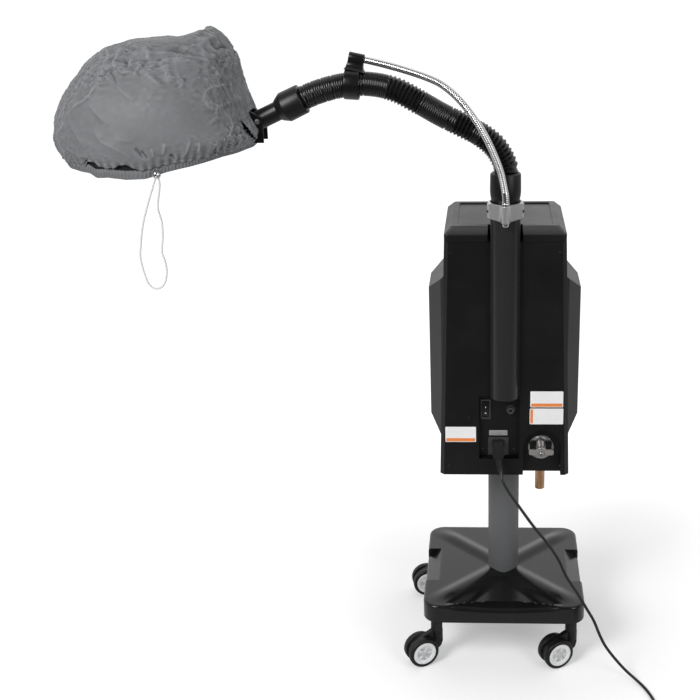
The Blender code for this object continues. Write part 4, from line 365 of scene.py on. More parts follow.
BLACK = surface("black_moulding", *MOULDING, Specular_IOR_Level=0.36)
SATIN = surface(
    "satin_moulding", (0.0062, 0.0064, 0.0068), (0.0084, 0.0086, 0.0090), (0.28, 0.40),
    Specular_IOR_Level=0.36,
)
GLOSS = surface(
    "hose_moulding", (0.0045, 0.0045, 0.0047), (0.0065, 0.0065, 0.0068), (0.20, 0.30), grain=500.0,
    depth=0.00004, Specular_IOR_Level=0.50,
)
BASE = surface(
    "base_moulding", (0.0040, 0.0041, 0.0044), (0.0060, 0.0061, 0.0064), (0.20, 0.30),
    Specular_IOR_Level=0.30, Coat_Weight=0.35, Coat_Roughness=0.16,
)
SHELL = surface(
    "shell_moulding", (0.036, 0.0366, 0.0378), (0.042, 0.0426, 0.0438), (0.34, 0.46), Specular_IOR_Level=0.46,
)
REAR_COVER = rear_surface()
PAINT = surface(
    "column_paint", (0.113, 0.115, 0.118), (0.127, 0.129, 0.132), (0.42, 0.56), grain=1300.0, depth=0.00008,
    Specular_IOR_Level=0.4,
)
BLACK_PAINT = surface(
    "black_paint", (0.010, 0.010, 0.0105), (0.014, 0.014, 0.0145), (0.40, 0.55), grain=1300.0, depth=0.00008,
    Specular_IOR_Level=0.4,
)
TYRE = surface(
    "tyre", (0.006, 0.006, 0.006), (0.009, 0.009, 0.009), (0.34, 0.48), grain=700.0, depth=0.0001,
    Specular_IOR_Level=0.35,
)
DISH = surface("hub_dish", (0.74, 0.74, 0.75), (0.56, 0.56, 0.57), (0.30, 0.44), 0.45, cloud=90.0)
HUB = surface("hub_silver", (0.86, 0.87, 0.88), (0.78, 0.79, 0.80), (0.28, 0.42), cloud=40.0)
CHROME = surface(
    "chrome", (0.74, 0.74, 0.75), (0.66, 0.66, 0.67), (0.08, 0.18), 1.0, cloud=30.0, depth=0.00001,
)
ALUMINIUM = surface("aluminium", (0.66, 0.66, 0.67), (0.52, 0.52, 0.53), (0.24, 0.38), 0.78, cloud=25.0)
NICKEL = surface("nickel", (0.50, 0.48, 0.46), (0.42, 0.40, 0.385), (0.34, 0.48), 0.75, cloud=60.0)
STEEL = surface("steel", (0.50, 0.50, 0.51), (0.42, 0.42, 0.43), (0.25, 0.38), 1.0, cloud=30.0)
COPPER = surface(
    "copper", (0.62, 0.385, 0.225), (0.50, 0.285, 0.155), (0.20, 0.32), 1.0, cloud=45.0, depth=0.00003,
)
CLOTH = cloth_surface()
BRAID = surface(
    "white_braid", (0.62, 0.62, 0.61), (0.56, 0.56, 0.55), (0.65, 0.8), grain=700.0, depth=0.0001,
)
LEAD = surface(
    "mains_lead", (0.0085, 0.0085, 0.0088), (0.012, 0.012, 0.0124), (0.34, 0.46), grain=600.0,
    Specular_IOR_Level=0.5,
)
WHITE = surface(
    "label_white", (0.80, 0.80, 0.80), (0.76, 0.76, 0.76), (0.28, 0.40), cloud=20.0, depth=0.00001,
)
ORANGE = surface(
    "label_orange", (0.80, 0.24, 0.055), (0.74, 0.21, 0.045), (0.28, 0.40), cloud=20.0, depth=0.00001,
)
BARE_PLATE = surface("bare_plate", (0.34, 0.34, 0.35), (0.29, 0.29, 0.30), (0.34, 0.48), 0.2, cloud=60.0)
LENS = surface(
    "amber_lens", (0.72, 0.17, 0.04), (0.60, 0.13, 0.03), (0.10, 0.20), cloud=50.0, Coat_Weight=0.5,
)
MARK = surface("white_mark", (0.72, 0.72, 0.72), (0.62, 0.62, 0.62), (0.45, 0.60), cloud=60.0)


# Mesh helpers

def linked(name, shape):
    """Object in the scene from a mesh, which is used up."""
    mesh = bpy.data.meshes.new(name)
    shape.to_mesh(mesh)
    shape.free()
    made = bpy.data.objects.new(name, mesh)
    bpy.context.scene.collection.objects.link(made)
    return made


def piece(name, shape, look, body, stands_for=(), sharp=40.0):
    """Finished piece from a mesh in the row frame, riding on a body."""
    bmesh.ops.recalc_face_normals(shape, faces=shape.faces[:])
    made = linked(name, shape)
    made.data.shade_smooth()
    made.data.set_sharp_from_angle(angle=math.radians(sharp))
    made.data.materials.append(look)
    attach(made, body)
    if stands_for:
        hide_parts(*stands_for)
    return made


def rounded(shape, edges, width, segments):
    bmesh.ops.bevel(
        shape, geom=edges, offset=width, offset_type="OFFSET", segments=segments, profile=0.5,
        affect="EDGES", clamp_overlap=True, material=-1,
    )


def laid_grid(columns, rows, place):
    """Mesh of columns by rows, each corner where place(column, row) puts it; equal corners merge."""
    shape = bmesh.new()
    bmesh.ops.create_grid(shape, x_segments=columns, y_segments=rows, size=0.5)
    for vert in shape.verts:
        vert.co = place(round((vert.co.x + 0.5) * columns), round((vert.co.y + 0.5) * rows))
    bmesh.ops.remove_doubles(shape, verts=shape.verts[:], dist=1e-7)
    return shape


def node_shape(node):
    shape = bmesh.new()
    shape.from_mesh(NODES[node].data)
    bmesh.ops.remove_doubles(shape, verts=shape.verts[:], dist=1e-5)
    bmesh.ops.dissolve_limit(
        shape, angle_limit=math.radians(0.6), verts=shape.verts[:], edges=shape.edges[:],
    )
    return shape


def softened(node, look, width, segments=2, angle=36.0):
    """The node's own form with its sharp edges rounded."""
    shape = node_shape(node)
    edges = [
        edge for edge in shape.edges
        if len(edge.link_faces) == 2 and edge.calc_face_angle(0.0) > math.radians(angle)
    ]
    rounded(shape, edges, width, segments)
    made = piece(f"{node}_dressed", shape, look, NODES[node]["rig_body"], (node,), 32.0)
    made.modifiers.new("even_shading", "WEIGHTED_NORMAL").keep_sharp = True
    return made


def turned(profile, place, steps=64, ring=False, shape=None):
    """Solid of revolution from (radius, height) millimetres, laid along the place matrix's Z axis."""
    fresh = bmesh.new()
    points = [fresh.verts.new((radius * MM, 0.0, height * MM)) for radius, height in profile]
    for first, second in zip(points, points[1:]):
        fresh.edges.new((first, second))
    if ring:
        fresh.edges.new((points[-1], points[0]))
    bmesh.ops.spin(
        fresh, geom=fresh.verts[:] + fresh.edges[:], cent=(0, 0, 0), axis=(0, 0, 1), dvec=(0, 0, 0),
        angle=math.tau, steps=steps, use_merge=True, use_duplicate=False,
    )
    bmesh.ops.remove_doubles(fresh, verts=fresh.verts[:], dist=1e-6)
    bmesh.ops.transform(fresh, matrix=place, verts=fresh.verts[:])
    bmesh.ops.recalc_face_normals(fresh, faces=fresh.faces[:])
    return joined(shape, fresh)


def joined(shape, fresh):
    """Add one mesh to another; with no first mesh, the second is the result."""
    if shape is None:
        return fresh
    carrier = bpy.data.meshes.new("carrier")
    fresh.to_mesh(carrier)
    fresh.free()
    shape.from_mesh(carrier)
    bpy.data.meshes.remove(carrier)
    return shape


def facing(place, direction):
    """Matrix with its Z axis along a direction."""
    return Matrix.Translation(place) @ direction.to_track_quat("Z", "Y").to_matrix().to_4x4()


def prism(outline, low, high, place, edge=0.0, segments=2):
    """Slab from a flat outline in millimetres, on the place matrix's X and Y axes, with rounded rims."""
    shape = bmesh.new()
    ring = [shape.verts.new((u * MM, v * MM, low * MM)) for u, v in outline]
    face = shape.faces.new(ring)
    drawn = bmesh.ops.extrude_face_region(shape, geom=[face])
    top = [item for item in drawn["geom"] if isinstance(item, bmesh.types.BMVert)]
    bmesh.ops.translate(shape, verts=top, vec=(0.0, 0.0, (high - low) * MM))
    bmesh.ops.recalc_face_normals(shape, faces=shape.faces[:])
    if edge:
        rims = [item for item in shape.edges if abs(item.verts[0].co.z - item.verts[1].co.z) < 1e-7]
        rounded(shape, rims, edge * MM, segments)
    bmesh.ops.transform(shape, matrix=place, verts=shape.verts[:])
    return shape


def rounded_rectangle(width, depth, corner, steps=6):
    outline = []
    for sx, sy, start in ((1, 1, 0), (-1, 1, 90), (-1, -1, 180), (1, -1, 270)):
        for step in range(steps + 1):
            angle = math.radians(start + 90.0 * step / steps)
            outline.append((
                sx * (width / 2 - corner) + corner * math.cos(angle),
                sy * (depth / 2 - corner) + corner * math.sin(angle),
            ))
    return outline


ROUTE_PARTS = 24


def smooth_route(points, step):
    """Points about one step apart on a smooth curve through the route's own points."""
    ends = [points[0] * 2 - points[1]] + list(points) + [points[-1] * 2 - points[-2]]
    fine = []
    for before, start, stop, after in zip(ends, ends[1:], ends[2:], ends[3:]):
        for part in range(ROUTE_PARTS):
            along = part / ROUTE_PARTS
            fine.append(0.5 * (
                2 * start + (stop - before) * along
                + (2 * before - 5 * start + 4 * stop - after) * along * along
                + (3 * start - before - 3 * stop + after) * along ** 3
            ))
    fine.append(points[-1])
    reach = [0.0]
    for first, second in zip(fine, fine[1:]):
        reach.append(reach[-1] + (second - first).length)
    count = max(2, round(reach[-1] / step))
    even = []
    place = 0
    for number in range(count + 1):
        goal = reach[-1] * number / count
        while place < len(fine) - 2 and reach[place + 1] < goal:
            place += 1
        share = (goal - reach[place]) / (reach[place + 1] - reach[place])
        even.append(fine[place].lerp(fine[place + 1], min(1.0, share)))
    return even


def route_length(points):
    return sum((second - first).length for first, second in zip(points, points[1:]))


def swept(line, radii, sides):
    """Closed tube of varying radius along a line, without twist."""
    side = (line[1] - line[0]).normalized().orthogonal().normalized()
    frames = []
    for number in range(len(line)):
        ahead = (line[min(len(line) - 1, number + 1)] - line[max(0, number - 1)]).normalized()
        side = (side - ahead * side.dot(ahead)).normalized()
        frames.append((side, ahead.cross(side)))

    def place(number, step):
        turn = math.tau * (step % sides) / sides
        first, second = frames[number]
        return line[number] + radii[number] * (first * math.cos(turn) + second * math.sin(turn))

    shape = laid_grid(len(line) - 1, sides, place)
    bmesh.ops.holes_fill(shape, edges=[edge for edge in shape.edges if edge.is_boundary], sides=0)
    return shape


def round_curve(name, points, radius, look, body, resolution=5):
    """One open round spline."""
    curve = bpy.data.curves.new(name, "CURVE")
    curve.dimensions = "3D"
    curve.bevel_depth = radius
    curve.bevel_resolution = resolution
    curve.use_fill_caps = True
    spline = curve.splines.new("POLY")
    spline.points.add(len(points) - 1)
    for number, point in enumerate(points):
        spline.points[number].co = (*point, 1.0)
    spline.use_smooth = True
    curve.materials.append(look)
    made = bpy.data.objects.new(name, curve)
    bpy.context.scene.collection.objects.link(made)
    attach(made, body)
    return made


# Screw head in shares of its radius: dome, then half length and half width of a slit
SCREW_DOME = ((1.0, 0.22), (0.86, 0.42), (0.5, 0.56), (0.0, 0.60))
SCREW_SLIT = (0.55, 0.13)


def screw(name, place, direction, radius, body, look=None):
    """Domed screw head with a cross recess, drawn as black bars on the dome as painted shade."""
    turn = facing(place, direction)
    profile = [(0.0, -0.2), (radius, -0.2)] + [(radius * out, radius * up) for out, up in SCREW_DOME]
    piece(name, turned(profile, turn, 24), look or STEEL, body)
    # Painted shade: the cross recess is two black bars rather than a cut.
    for number, (wide, high) in enumerate((SCREW_SLIT, SCREW_SLIT[::-1])):
        u, v = radius * wide, radius * high
        outline = ((-u, -v), (u, -v), (u, v), (-u, v))
        recess = prism(outline, radius * 0.45, radius * 0.64, turn)
        piece(f"{name}_slit_{number}", recess, BLACK, body)


# Cords

CORD_ROUTE_MM = (
    (-4, -189, 505), (8, -192, 481), (37, -194, 437), (67, -195, 392), (98, -195, 350),
    (125, -196, 307), (146, -198, 260), (171, -200, 219), (193, -203, 180), (212, -206, 146),
    (228, -209, 106), (243, -213, 77), (268, -218, 44), (292, -227, 20), (312, -241, 8),
    (328, -264, 4.6), (340, -294, 4.6), (348, -326, 4.9), (353, -360, 5.2),
)
CORD_MM = 7.0
STRING_MM = 4.0
LOCK_RADIUS = 8.5
COIL_TURNS = 5.0
COIL_LAYER_TURNS = 2.25
COIL_PITCH_MM = 7.7
COIL_OUTER_MM = 38.5 + COIL_PITCH_MM * COIL_TURNS / 4
COIL_LOW_MM = 5.3
RELIEF_START_MM = (-14.0, -159.6, 549.0)
RELIEF_MM = 36.0
STRING_ROUTE_MM = (
    (-3.4, -8.2), (-8, -20), (-23, -58), (-38, -102), (-47, -145), (-50, -170), (-46, -199), (-39, -224),
    (-27, -234), (-13, -231), (-3, -216), (1, -194), (-1, -174), (-5, -158), (-1, -130), (1, -98), (-4, -66),
    (2, -34), (4.4, -18), (3.4, -8.2),
)


def relief_line():
    """Start and direction of the strain relief."""
    start = Vector(RELIEF_START_MM)
    return start, (Vector(CORD_ROUTE_MM[0]) - start).normalized()


def lead_line():
    """Middle line of the mains lead, from the strain relief to the coil's outer end."""
    start, aim = relief_line()
    leave = start + aim * (RELIEF_MM + 0.3)
    meet = Vector((CORD_ROUTE_MM[-1][0], CORD_ROUTE_MM[-1][1] - 4 * CORD_MM, COIL_LOW_MM))
    points = [leave, leave + aim * CORD_MM] + [Vector(place) for place in CORD_ROUTE_MM]
    points[-1] = Vector((meet.x, points[-1].y, meet.z))
    line = smooth_route(points + [meet], 6.0)
    return line, meet


def coil_line(meet):
    """Loops of the put-away length: inwards below, up a layer in a half turn, and outwards above."""
    centre = Vector((meet.x + COIL_OUTER_MM, meet.y - CORD_MM, 0.0))
    count = round(COIL_TURNS * 40)
    points = []
    for number in range(count + 1):
        turn = COIL_TURNS * number / count
        radius = COIL_OUTER_MM - COIL_PITCH_MM * min(turn, COIL_TURNS - turn)
        share = min(1.0, max(0.0, (turn - COIL_LAYER_TURNS) / 0.5))
        height = COIL_LOW_MM + COIL_PITCH_MM * (1.0 - math.cos(math.pi * share)) / 2
        angle = math.pi + math.tau * turn
        points.append(centre + Vector((radius * math.cos(angle), radius * math.sin(angle), height)))
    points.append(points[-1] + Vector((0.0, -4 * CORD_MM, 0.0)))
    return points


def cords():
    line, meet = lead_line()
    points = [at(*point) for point in line + coil_line(meet)]
    lead = round_curve("mains_lead", points, CORD_MM / 2 * MM, LEAD, "stand")
    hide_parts("mains_cord", "mains_cord_coil")
    plug = softened("mains_plug", LEAD, 0.0012)
    tie = softened("coil_tie", LEAD, 0.0003)
    low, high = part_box("cord_lock")
    lock = (low + high) / 2
    string = smooth_route([lock + Vector((x, 0.0, z)) * MM for x, z in STRING_ROUTE_MM], 0.004)
    braid = round_curve("drawstring_braid", string, STRING_MM / 2 * MM, BRAID, "hood")
    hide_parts("drawstring")
    cord_lock(lock)


def cord_lock(lock):
    """Spring lock on the drawstring: ball with a rimmed hole, whose dark inside is a black disc as painted
    shade.
    """
    angles = [math.pi * (step / 24 - 0.5) for step in range(1, 24)]
    profile = [(LOCK_RADIUS * math.cos(angle), LOCK_RADIUS * math.sin(angle)) for angle in angles]
    ball = turned([(0.0, -LOCK_RADIUS)] + profile + [(0.0, LOCK_RADIUS)], facing(lock, UP), 40)
    piece("cord_lock_ball", ball, CHROME, "hood", ("cord_lock",))
    mouth = facing(lock + REAR * 0.0076, REAR)
    rim = turned(((2.2, -0.4), (3.4, -0.4), (3.4, 1.0), (2.9, 1.4), (2.2, 1.0)), mouth, 32, ring=True)
    piece("cord_lock_rim", rim, STEEL, "hood")
    # Painted shade: a black disc for the dark inside of the hole.
    hole = turned(((0.0, 0.2), (2.3, 0.2), (2.3, 0.7), (0.0, 0.5)), mouth, 24)
    piece("cord_lock_hole_shade", hole, BLACK, "hood")


# Arm

ARM_Y = -142.0
TUBE_TOP = 1125.3
ARM_UNIT = 0.513
PIVOT = Vector((-513.0, ARM_Y, 1319.0))
PIPE_SLOPE = math.radians(24.8)
PIPE_AXIS = Vector((-math.cos(PIPE_SLOPE), 0.0, -math.sin(PIPE_SLOPE)))
CUFF_END = PIVOT - PIPE_AXIS * 45.0
CUFF_START = CUFF_END - PIPE_AXIS * 58.0
CUFF_FOOT = 1129.9
CUFF_TOP = 1205.9
COLLAR_FOOT = 1106.3
COLLAR_TOP = 1143.3
COLLAR_INNER = 32.8
COLLAR_EDGE = 0.8
COLLAR_RAKE = 5.0
COLLAR_RAKE_TURN = 60.0
COLLAR_SCREW_TURN = 63.0
COLLAR_SCREW_REACH = 42.1
COLLAR_SCREW_HEIGHT = 1126.0
COLLAR_REACH = (
    (0, 55.3), (5, 54.6), (9, 52.0), (11.5, 48.4), (13, 44.6), (16, 41.0), (22, 39.2), (34, 38.6), (46, 39.4),
    (54, 41.4), (58, 42.2), (68, 42.2), (71, 41.0), (74, 37.4), (180, 37.0),
)
FERRULE_Y = -187.3
FERRULE_FOOT = 1098.3
FERRULE_TOP = 1150.3
NECK_TOP = 1172.0
GAP = 0.3
HOSE_STRAIGHT = 12.0
# Ribs pushed together and drawn out: pitch, crest radius and depth
HOSE_TIGHT = (4.6, 25.0, 1.1)
HOSE_WIDE = (8.6, 26.8, 4.6)
HOSE_EASE = 10.0
RIB_STEPS = 8
HOSE_OPEN = ((-52.0, 10.0), (-105.0, -65.0), (-241.0, -172.0))
HOSE_GAPS = (-116.0, -288.0, -350.0, -373.0, -393.0, -407.0)
GAP_PITCH = 2.8
GAP_DEPTH = 2.2
CLIP_X = -316.5
CLIP_AHEAD = 11.5
CLIP_RISE = 52.0
CLIP_HOOK = (10.4, 7.7)
CLIP_NECK = ((6.6, -12.0), (7.4, -15.5), (10.0, -19.6), (15.0, -23.8), (12.0, -25.5), (0.0, -22.8))
GOOSENECK_RADIUS = 7.4
GOOSENECK_PITCH = 4.2
GOOSENECK_WINDING = 0.55
NECK_RADIUS = 7.7
NECK_WINDING = 0.24
GOOSENECK_ROUTE = (
    (-3, 0, 91), (-20, 0, 171), (-49, 0, 249), (-87, 2, 327), (-125, 10, 387), (-172, 25, 446),
    (-216, 41, 488), (-267, 57, 522.5), (-333, 70, 549), (-409, 78, 573), (-483, 78, 594),
)
HOSE_ROUTE = (
    (-14, 216), (-47, 266), (-103, 311), (-175, 350), (-257, 391), (-353, 446), (-433, 489),
    (-511, 512), (-597, 518), (-678, 508), (-750, 489),
)
LOWER_CUFF = (
    (22.9, 0.0), (26.8, 0.0), (27.6, 0.7), (29.2, 13.0), (30.8, 19.5), (32.2, 26.0), (32.9, 33.0),
    (33.0, 40.0), (32.5, 70.6), (31.8, 73.0), (28.6, 75.6), (27.4, 76.0), (22.9, 76.0),
)
UPPER_CUFF = (
    (20.5, 0.0), (29.2, 0.0), (30.0, 0.3), (30.7, 1.2), (31.0, 2.6), (31.6, 40.6), (31.4, 42.4), (30.6, 43.6),
    (22.8, 56.6), (22.0, 57.6), (21.2, 58.0), (20.5, 58.0),
)
PIVOT_SCREW = (
    (0.0, 17.2), (3.0, 17.2), (3.0, 24.9), (6.0, 24.9), (6.0, 27.0), (5.4, 28.4), (3.4, 28.9), (2.6, 28.9),
    (2.2, 27.6), (0.0, 27.6),
)


def ranged(table, place):
    """Value at a place in a table of (place, value) pairs."""
    for (first, low), (second, high) in zip(table, table[1:]):
        if place <= second:
            return low + (high - low) * max(0.0, place - first) / (second - first)
    return table[-1][1]


def hose_line(step):
    start = Vector((0.0, ARM_Y, CUFF_TOP + GAP))
    end = CUFF_START - PIPE_AXIS * GAP
    points = [start, start + UP * HOSE_STRAIGHT]
    points += [Vector((x * ARM_UNIT, ARM_Y, TUBE_TOP + z * ARM_UNIT)) for x, z in HOSE_ROUTE]
    points += [end - PIPE_AXIS * HOSE_STRAIGHT, end]
    return smooth_route(points, step)


def hose_opening(x):
    """How far the ribs are drawn out, from 0 where they are pushed together to 1."""
    shares = [0.5 + min(x - low, high - x) / HOSE_EASE for low, high in HOSE_OPEN]
    return max(0.0, min(1.0, max(shares)))


def hose():
    """Corrugated steam hose: fine ribs pushed together, with lengths that are drawn out into deep folds."""
    fine = hose_line(0.2)
    step = route_length(fine) / (len(fine) - 1)
    gaps = list(HOSE_GAPS)
    line = []
    radii = []
    reach = 0.0
    while True:
        x = fine[round(reach / step)].x
        wide = hose_opening(x)
        pitch, crest, depth = (tight + (drawn - tight) * wide for tight, drawn in zip(HOSE_TIGHT, HOSE_WIDE))
        gap = bool(gaps) and x < gaps[0]
        if gap:
            gaps.pop(0)
            pitch = GAP_PITCH
        if reach + pitch > step * (len(fine) - 1):
            break
        for number in range(RIB_STEPS):
            share = number / RIB_STEPS
            fold = 1.0 - abs(2.0 * share - 1.0)
            swell = (1.0 - wide) * math.sin(math.pi * share) ** 0.6 + wide * fold ** 0.9
            if gap:
                swell = -GAP_DEPTH if 1 < number < RIB_STEPS - 1 else 0.0
            line.append(fine[round((reach + pitch * share) / step)])
            radii.append((crest - depth + depth * swell) * MM)
        reach += pitch
    line.append(fine[-1])
    radii.append(radii[0])
    shape = swept([at(*point) for point in line], radii, 40)
    piece("ribbed_hose", shape, GLOSS, "arm", ("hose",), 50.0)


def cuffs():
    """Plain moulded sleeves on both ends of the hose."""
    feet = {
        "lower": (LOWER_CUFF, facing(at(0, ARM_Y, CUFF_FOOT), UP)),
        "upper": (UPPER_CUFF, facing(at(*CUFF_START), PIPE_AXIS)),
    }
    for name, (profile, place) in feet.items():
        shape = turned(profile, place, 72, ring=True)
        piece(f"cuff_{name}", shape, BLACK, "arm", (f"hose_cuff_{name}",), 30.0)


def sleeve_line():
    """Middle and direction of the clip's hook, along the gooseneck's end."""
    nearest = min(hose_line(4.0), key=lambda point: abs(point.x - CLIP_X))
    sleeve = Vector((CLIP_X + CLIP_AHEAD, ARM_Y, nearest.z + CLIP_RISE))
    last = Vector((GOOSENECK_ROUTE[-1][0], 0.0, GOOSENECK_ROUTE[-1][2])) * ARM_UNIT
    return sleeve, Vector((sleeve.x - last.x, 0.0, sleeve.z - TUBE_TOP - last.z)).normalized()


def hose_clip():
    """Band round the hose with a flared neck and a hook that the gooseneck's end lies in."""
    line = hose_line(4.0)
    number = min(range(len(line)), key=lambda item: abs(line[item].x - CLIP_X))
    sleeve, aim = sleeve_line()
    along = ((line[number + 3] - line[number - 3]).normalized() + aim).normalized()
    band = (
        (27.0, -15.4), (30.4, -15.4), (31.2, -14.6), (31.6, -12.0), (31.6, 12.0), (31.2, 14.6), (30.4, 15.4),
        (27.0, 15.4),
    )
    shape = turned(band, facing(at(*line[number]), along), 72, ring=True)

    def arc(radius, start, stop, step):
        return [
            (radius * math.cos(math.radians(angle)), radius * math.sin(math.radians(angle)))
            for angle in range(start, stop, step)
        ]

    outer, inner = CLIP_HOOK
    outline = list(reversed(CLIP_NECK)) + arc(outer, -52, -11, 8) + arc(inner, -12, -349, -8)
    outline += arc(outer, 12, 233, 8) + [(-u, v) for u, v in CLIP_NECK[:-1]]
    hook = prism(outline, -16.0, 16.0, Matrix.Identity(4), 0.8)
    for vert in hook.verts:
        flare = max(0.0, -12.0 - vert.co.y / MM)
        vert.co.z *= 1.0 + 0.002 * flare * flare
    rise = (UP - aim * UP.dot(aim)).normalized()
    lay = Matrix.Translation(at(*sleeve)) @ Matrix((-REAR, rise, -aim)).transposed().to_4x4()
    bmesh.ops.transform(hook, matrix=lay, verts=hook.verts[:])
    piece("clip_dressed", joined(shape, hook), GLOSS, "arm", ("hose_clip",), 30.0)


def from_rear(degrees):
    """Direction away from the steam tube's axis, by the turn from the rear."""
    turn = math.radians(degrees)
    return Vector((math.sin(turn), -math.cos(turn), 0.0))


def collar():
    """Cast clamp on the rear tube: a boss round the ferrule and a screwed lug on each side."""
    steps = 180

    def place(step, number):
        turn = 360.0 * (step % steps) / steps
        off = min(turn, 360.0 - turn)
        reach = ranged(COLLAR_REACH, off)
        low = COLLAR_FOOT + COLLAR_RAKE * min(1.0, off / COLLAR_RAKE_TURN)
        section = (
            (COLLAR_INNER, low), (reach - COLLAR_EDGE, low), (reach, low + COLLAR_EDGE),
            (reach, COLLAR_TOP - COLLAR_EDGE), (reach - COLLAR_EDGE, COLLAR_TOP), (COLLAR_INNER, COLLAR_TOP),
        )
        radius, height = section[number % 6]
        return at(0, ARM_Y, height) + from_rear(turn) * radius * MM

    shape = laid_grid(steps, 6, place)
    piece("collar_dressed", shape, ALUMINIUM, "arm", ("arm_collar",), 34.0)
    for number, side in enumerate((-1, 1)):
        out = from_rear(side * COLLAR_SCREW_TURN)
        head = at(0, ARM_Y, COLLAR_SCREW_HEIGHT) + out * COLLAR_SCREW_REACH * MM
        screw(f"collar_screw_{number}", head, out, 3.2, "arm", BLACK)


def gooseneck():
    """Chrome stay of wound strip, with a plain ferrule in the collar."""
    sleeve, aim = sleeve_line()
    points = [Vector((0.0, FERRULE_Y, FERRULE_TOP)), Vector((0.0, FERRULE_Y, FERRULE_TOP + 6.0))]
    foot = Vector((0.0, FERRULE_Y, TUBE_TOP))
    points += [foot + Vector(place) * ARM_UNIT for place in GOOSENECK_ROUTE]
    points += [sleeve - aim * 30.6, sleeve, sleeve + aim * 13.6]
    line = smooth_route(points, GOOSENECK_PITCH / 8)
    radii = []
    for number, point in enumerate(line):
        wave = 0.5 + 0.5 * math.cos(math.tau * number / 8)
        if point.z < NECK_TOP:
            radius = NECK_RADIUS - NECK_WINDING * wave
        else:
            radius = GOOSENECK_RADIUS - GOOSENECK_WINDING * wave ** 3.0
        radii.append(radius * MM)
    shape = swept([at(*point) for point in line], radii, 24)
    ferrule = (
        (0.0, 0.0), (4.0, 0.0), (7.2, 1.0), (8.0, 4.0), (8.0, 38.0), (7.6, 38.6), (7.6, 40.0), (8.0, 40.6),
        (8.0, 49.6), (7.6, 51.6), (7.0, 52.0), (0.0, 52.0),
    )
    shape = turned(ferrule, facing(at(0, FERRULE_Y, FERRULE_FOOT), UP), 40, shape=shape)
    piece("gooseneck_dressed", shape, CHROME, "arm", ("gooseneck",), 70.0)


def arm():
    hose()
    cuffs()
    gooseneck()
    collar()
    hose_clip()
    softened("nozzle_pipe", SATIN, 0.0008, 2)
    for name, side in (("rear", -1.0), ("front", 1.0)):
        turn = Vector((0.0, side, 0.0))
        head = turned(PIVOT_SCREW, facing(at(*PIVOT), turn), 32)
        piece(f"pivot_screw_{name}", head, STEEL, "arm", (f"pivot_bolt_{name}",))


# Bonnet

BONNET_X = -731.0
BONNET_HALF = (213.0, 196.0)
BONNET_HEM = 1246.0
BONNET_BELLY = 1292.0
BONNET_CROWN = 1480.0
BONNET_LEAN = 50.0
BONNET_SLACK = 1.5
FORMER_SLACK = -3.0
BELLY_RISE = 0.2
HEM_PULL = 0.93
KNOT_X = -598.0
KNOT_RISE, KNOT_HALF, KNOT_DEEP = 24.0, 34.0, 95.0
SEAM_TURN = 0.16
STRIP_PUSH, CRUSH_PUSH, KNOT_PUSH, PUCKER_PUSH, GATHER_PUSH = 3.2, 1.2, 2.4, 1.0, 1.4
FINE_FROM = 0.42
CLOTH_WALL = 0.0012
# Opening for the nozzle: half width, low and high
WINDOW = (26.5, 1272.0, 1340.0)
PANEL_TURN = 0.52
# How far the sides are drawn in, by height, and the hem's rise and lift, by X
LEFT_DRAW = (
    (1226, 16), (1240, 20), (1256, 20), (1275, 14), (1320, 14), (1340, 10), (1400, 8), (1425, 8), (1455, 4),
    (1480, 0),
)
RIGHT_DRAW = ((1260, 10), (1290, 9), (1312, 0), (1354, -8), (1396, -13), (1425, -15), (1447, -12), (1480, -8))
HEM_RISE = (
    (-945, 8), (-860, 8), (-826, 6), (-812, -1), (-787, 1), (-750, -4), (-712, -2), (-670, 9), (-638, 16),
    (-599, 23.5), (-567, 29.6), (-535, 32), (-505, 34),
)
HEM_LIFT = (
    (-945, 0), (-842, 0), (-832, 9), (-822, 20), (-812, 24), (-803, 16), (-790, 10), (-772, 12), (-760, 20),
    (-747, 24), (-735, 18), (-722, 10), (-700, 8), (-660, 7), (-630, 2), (-610, 0), (-505, 0),
)
# Eye that the folds are placed from: its Y and height, its drop and its distance
SEEN_FROM = (-2661.0, 1736.0, math.radians(20.26), 2483.0)
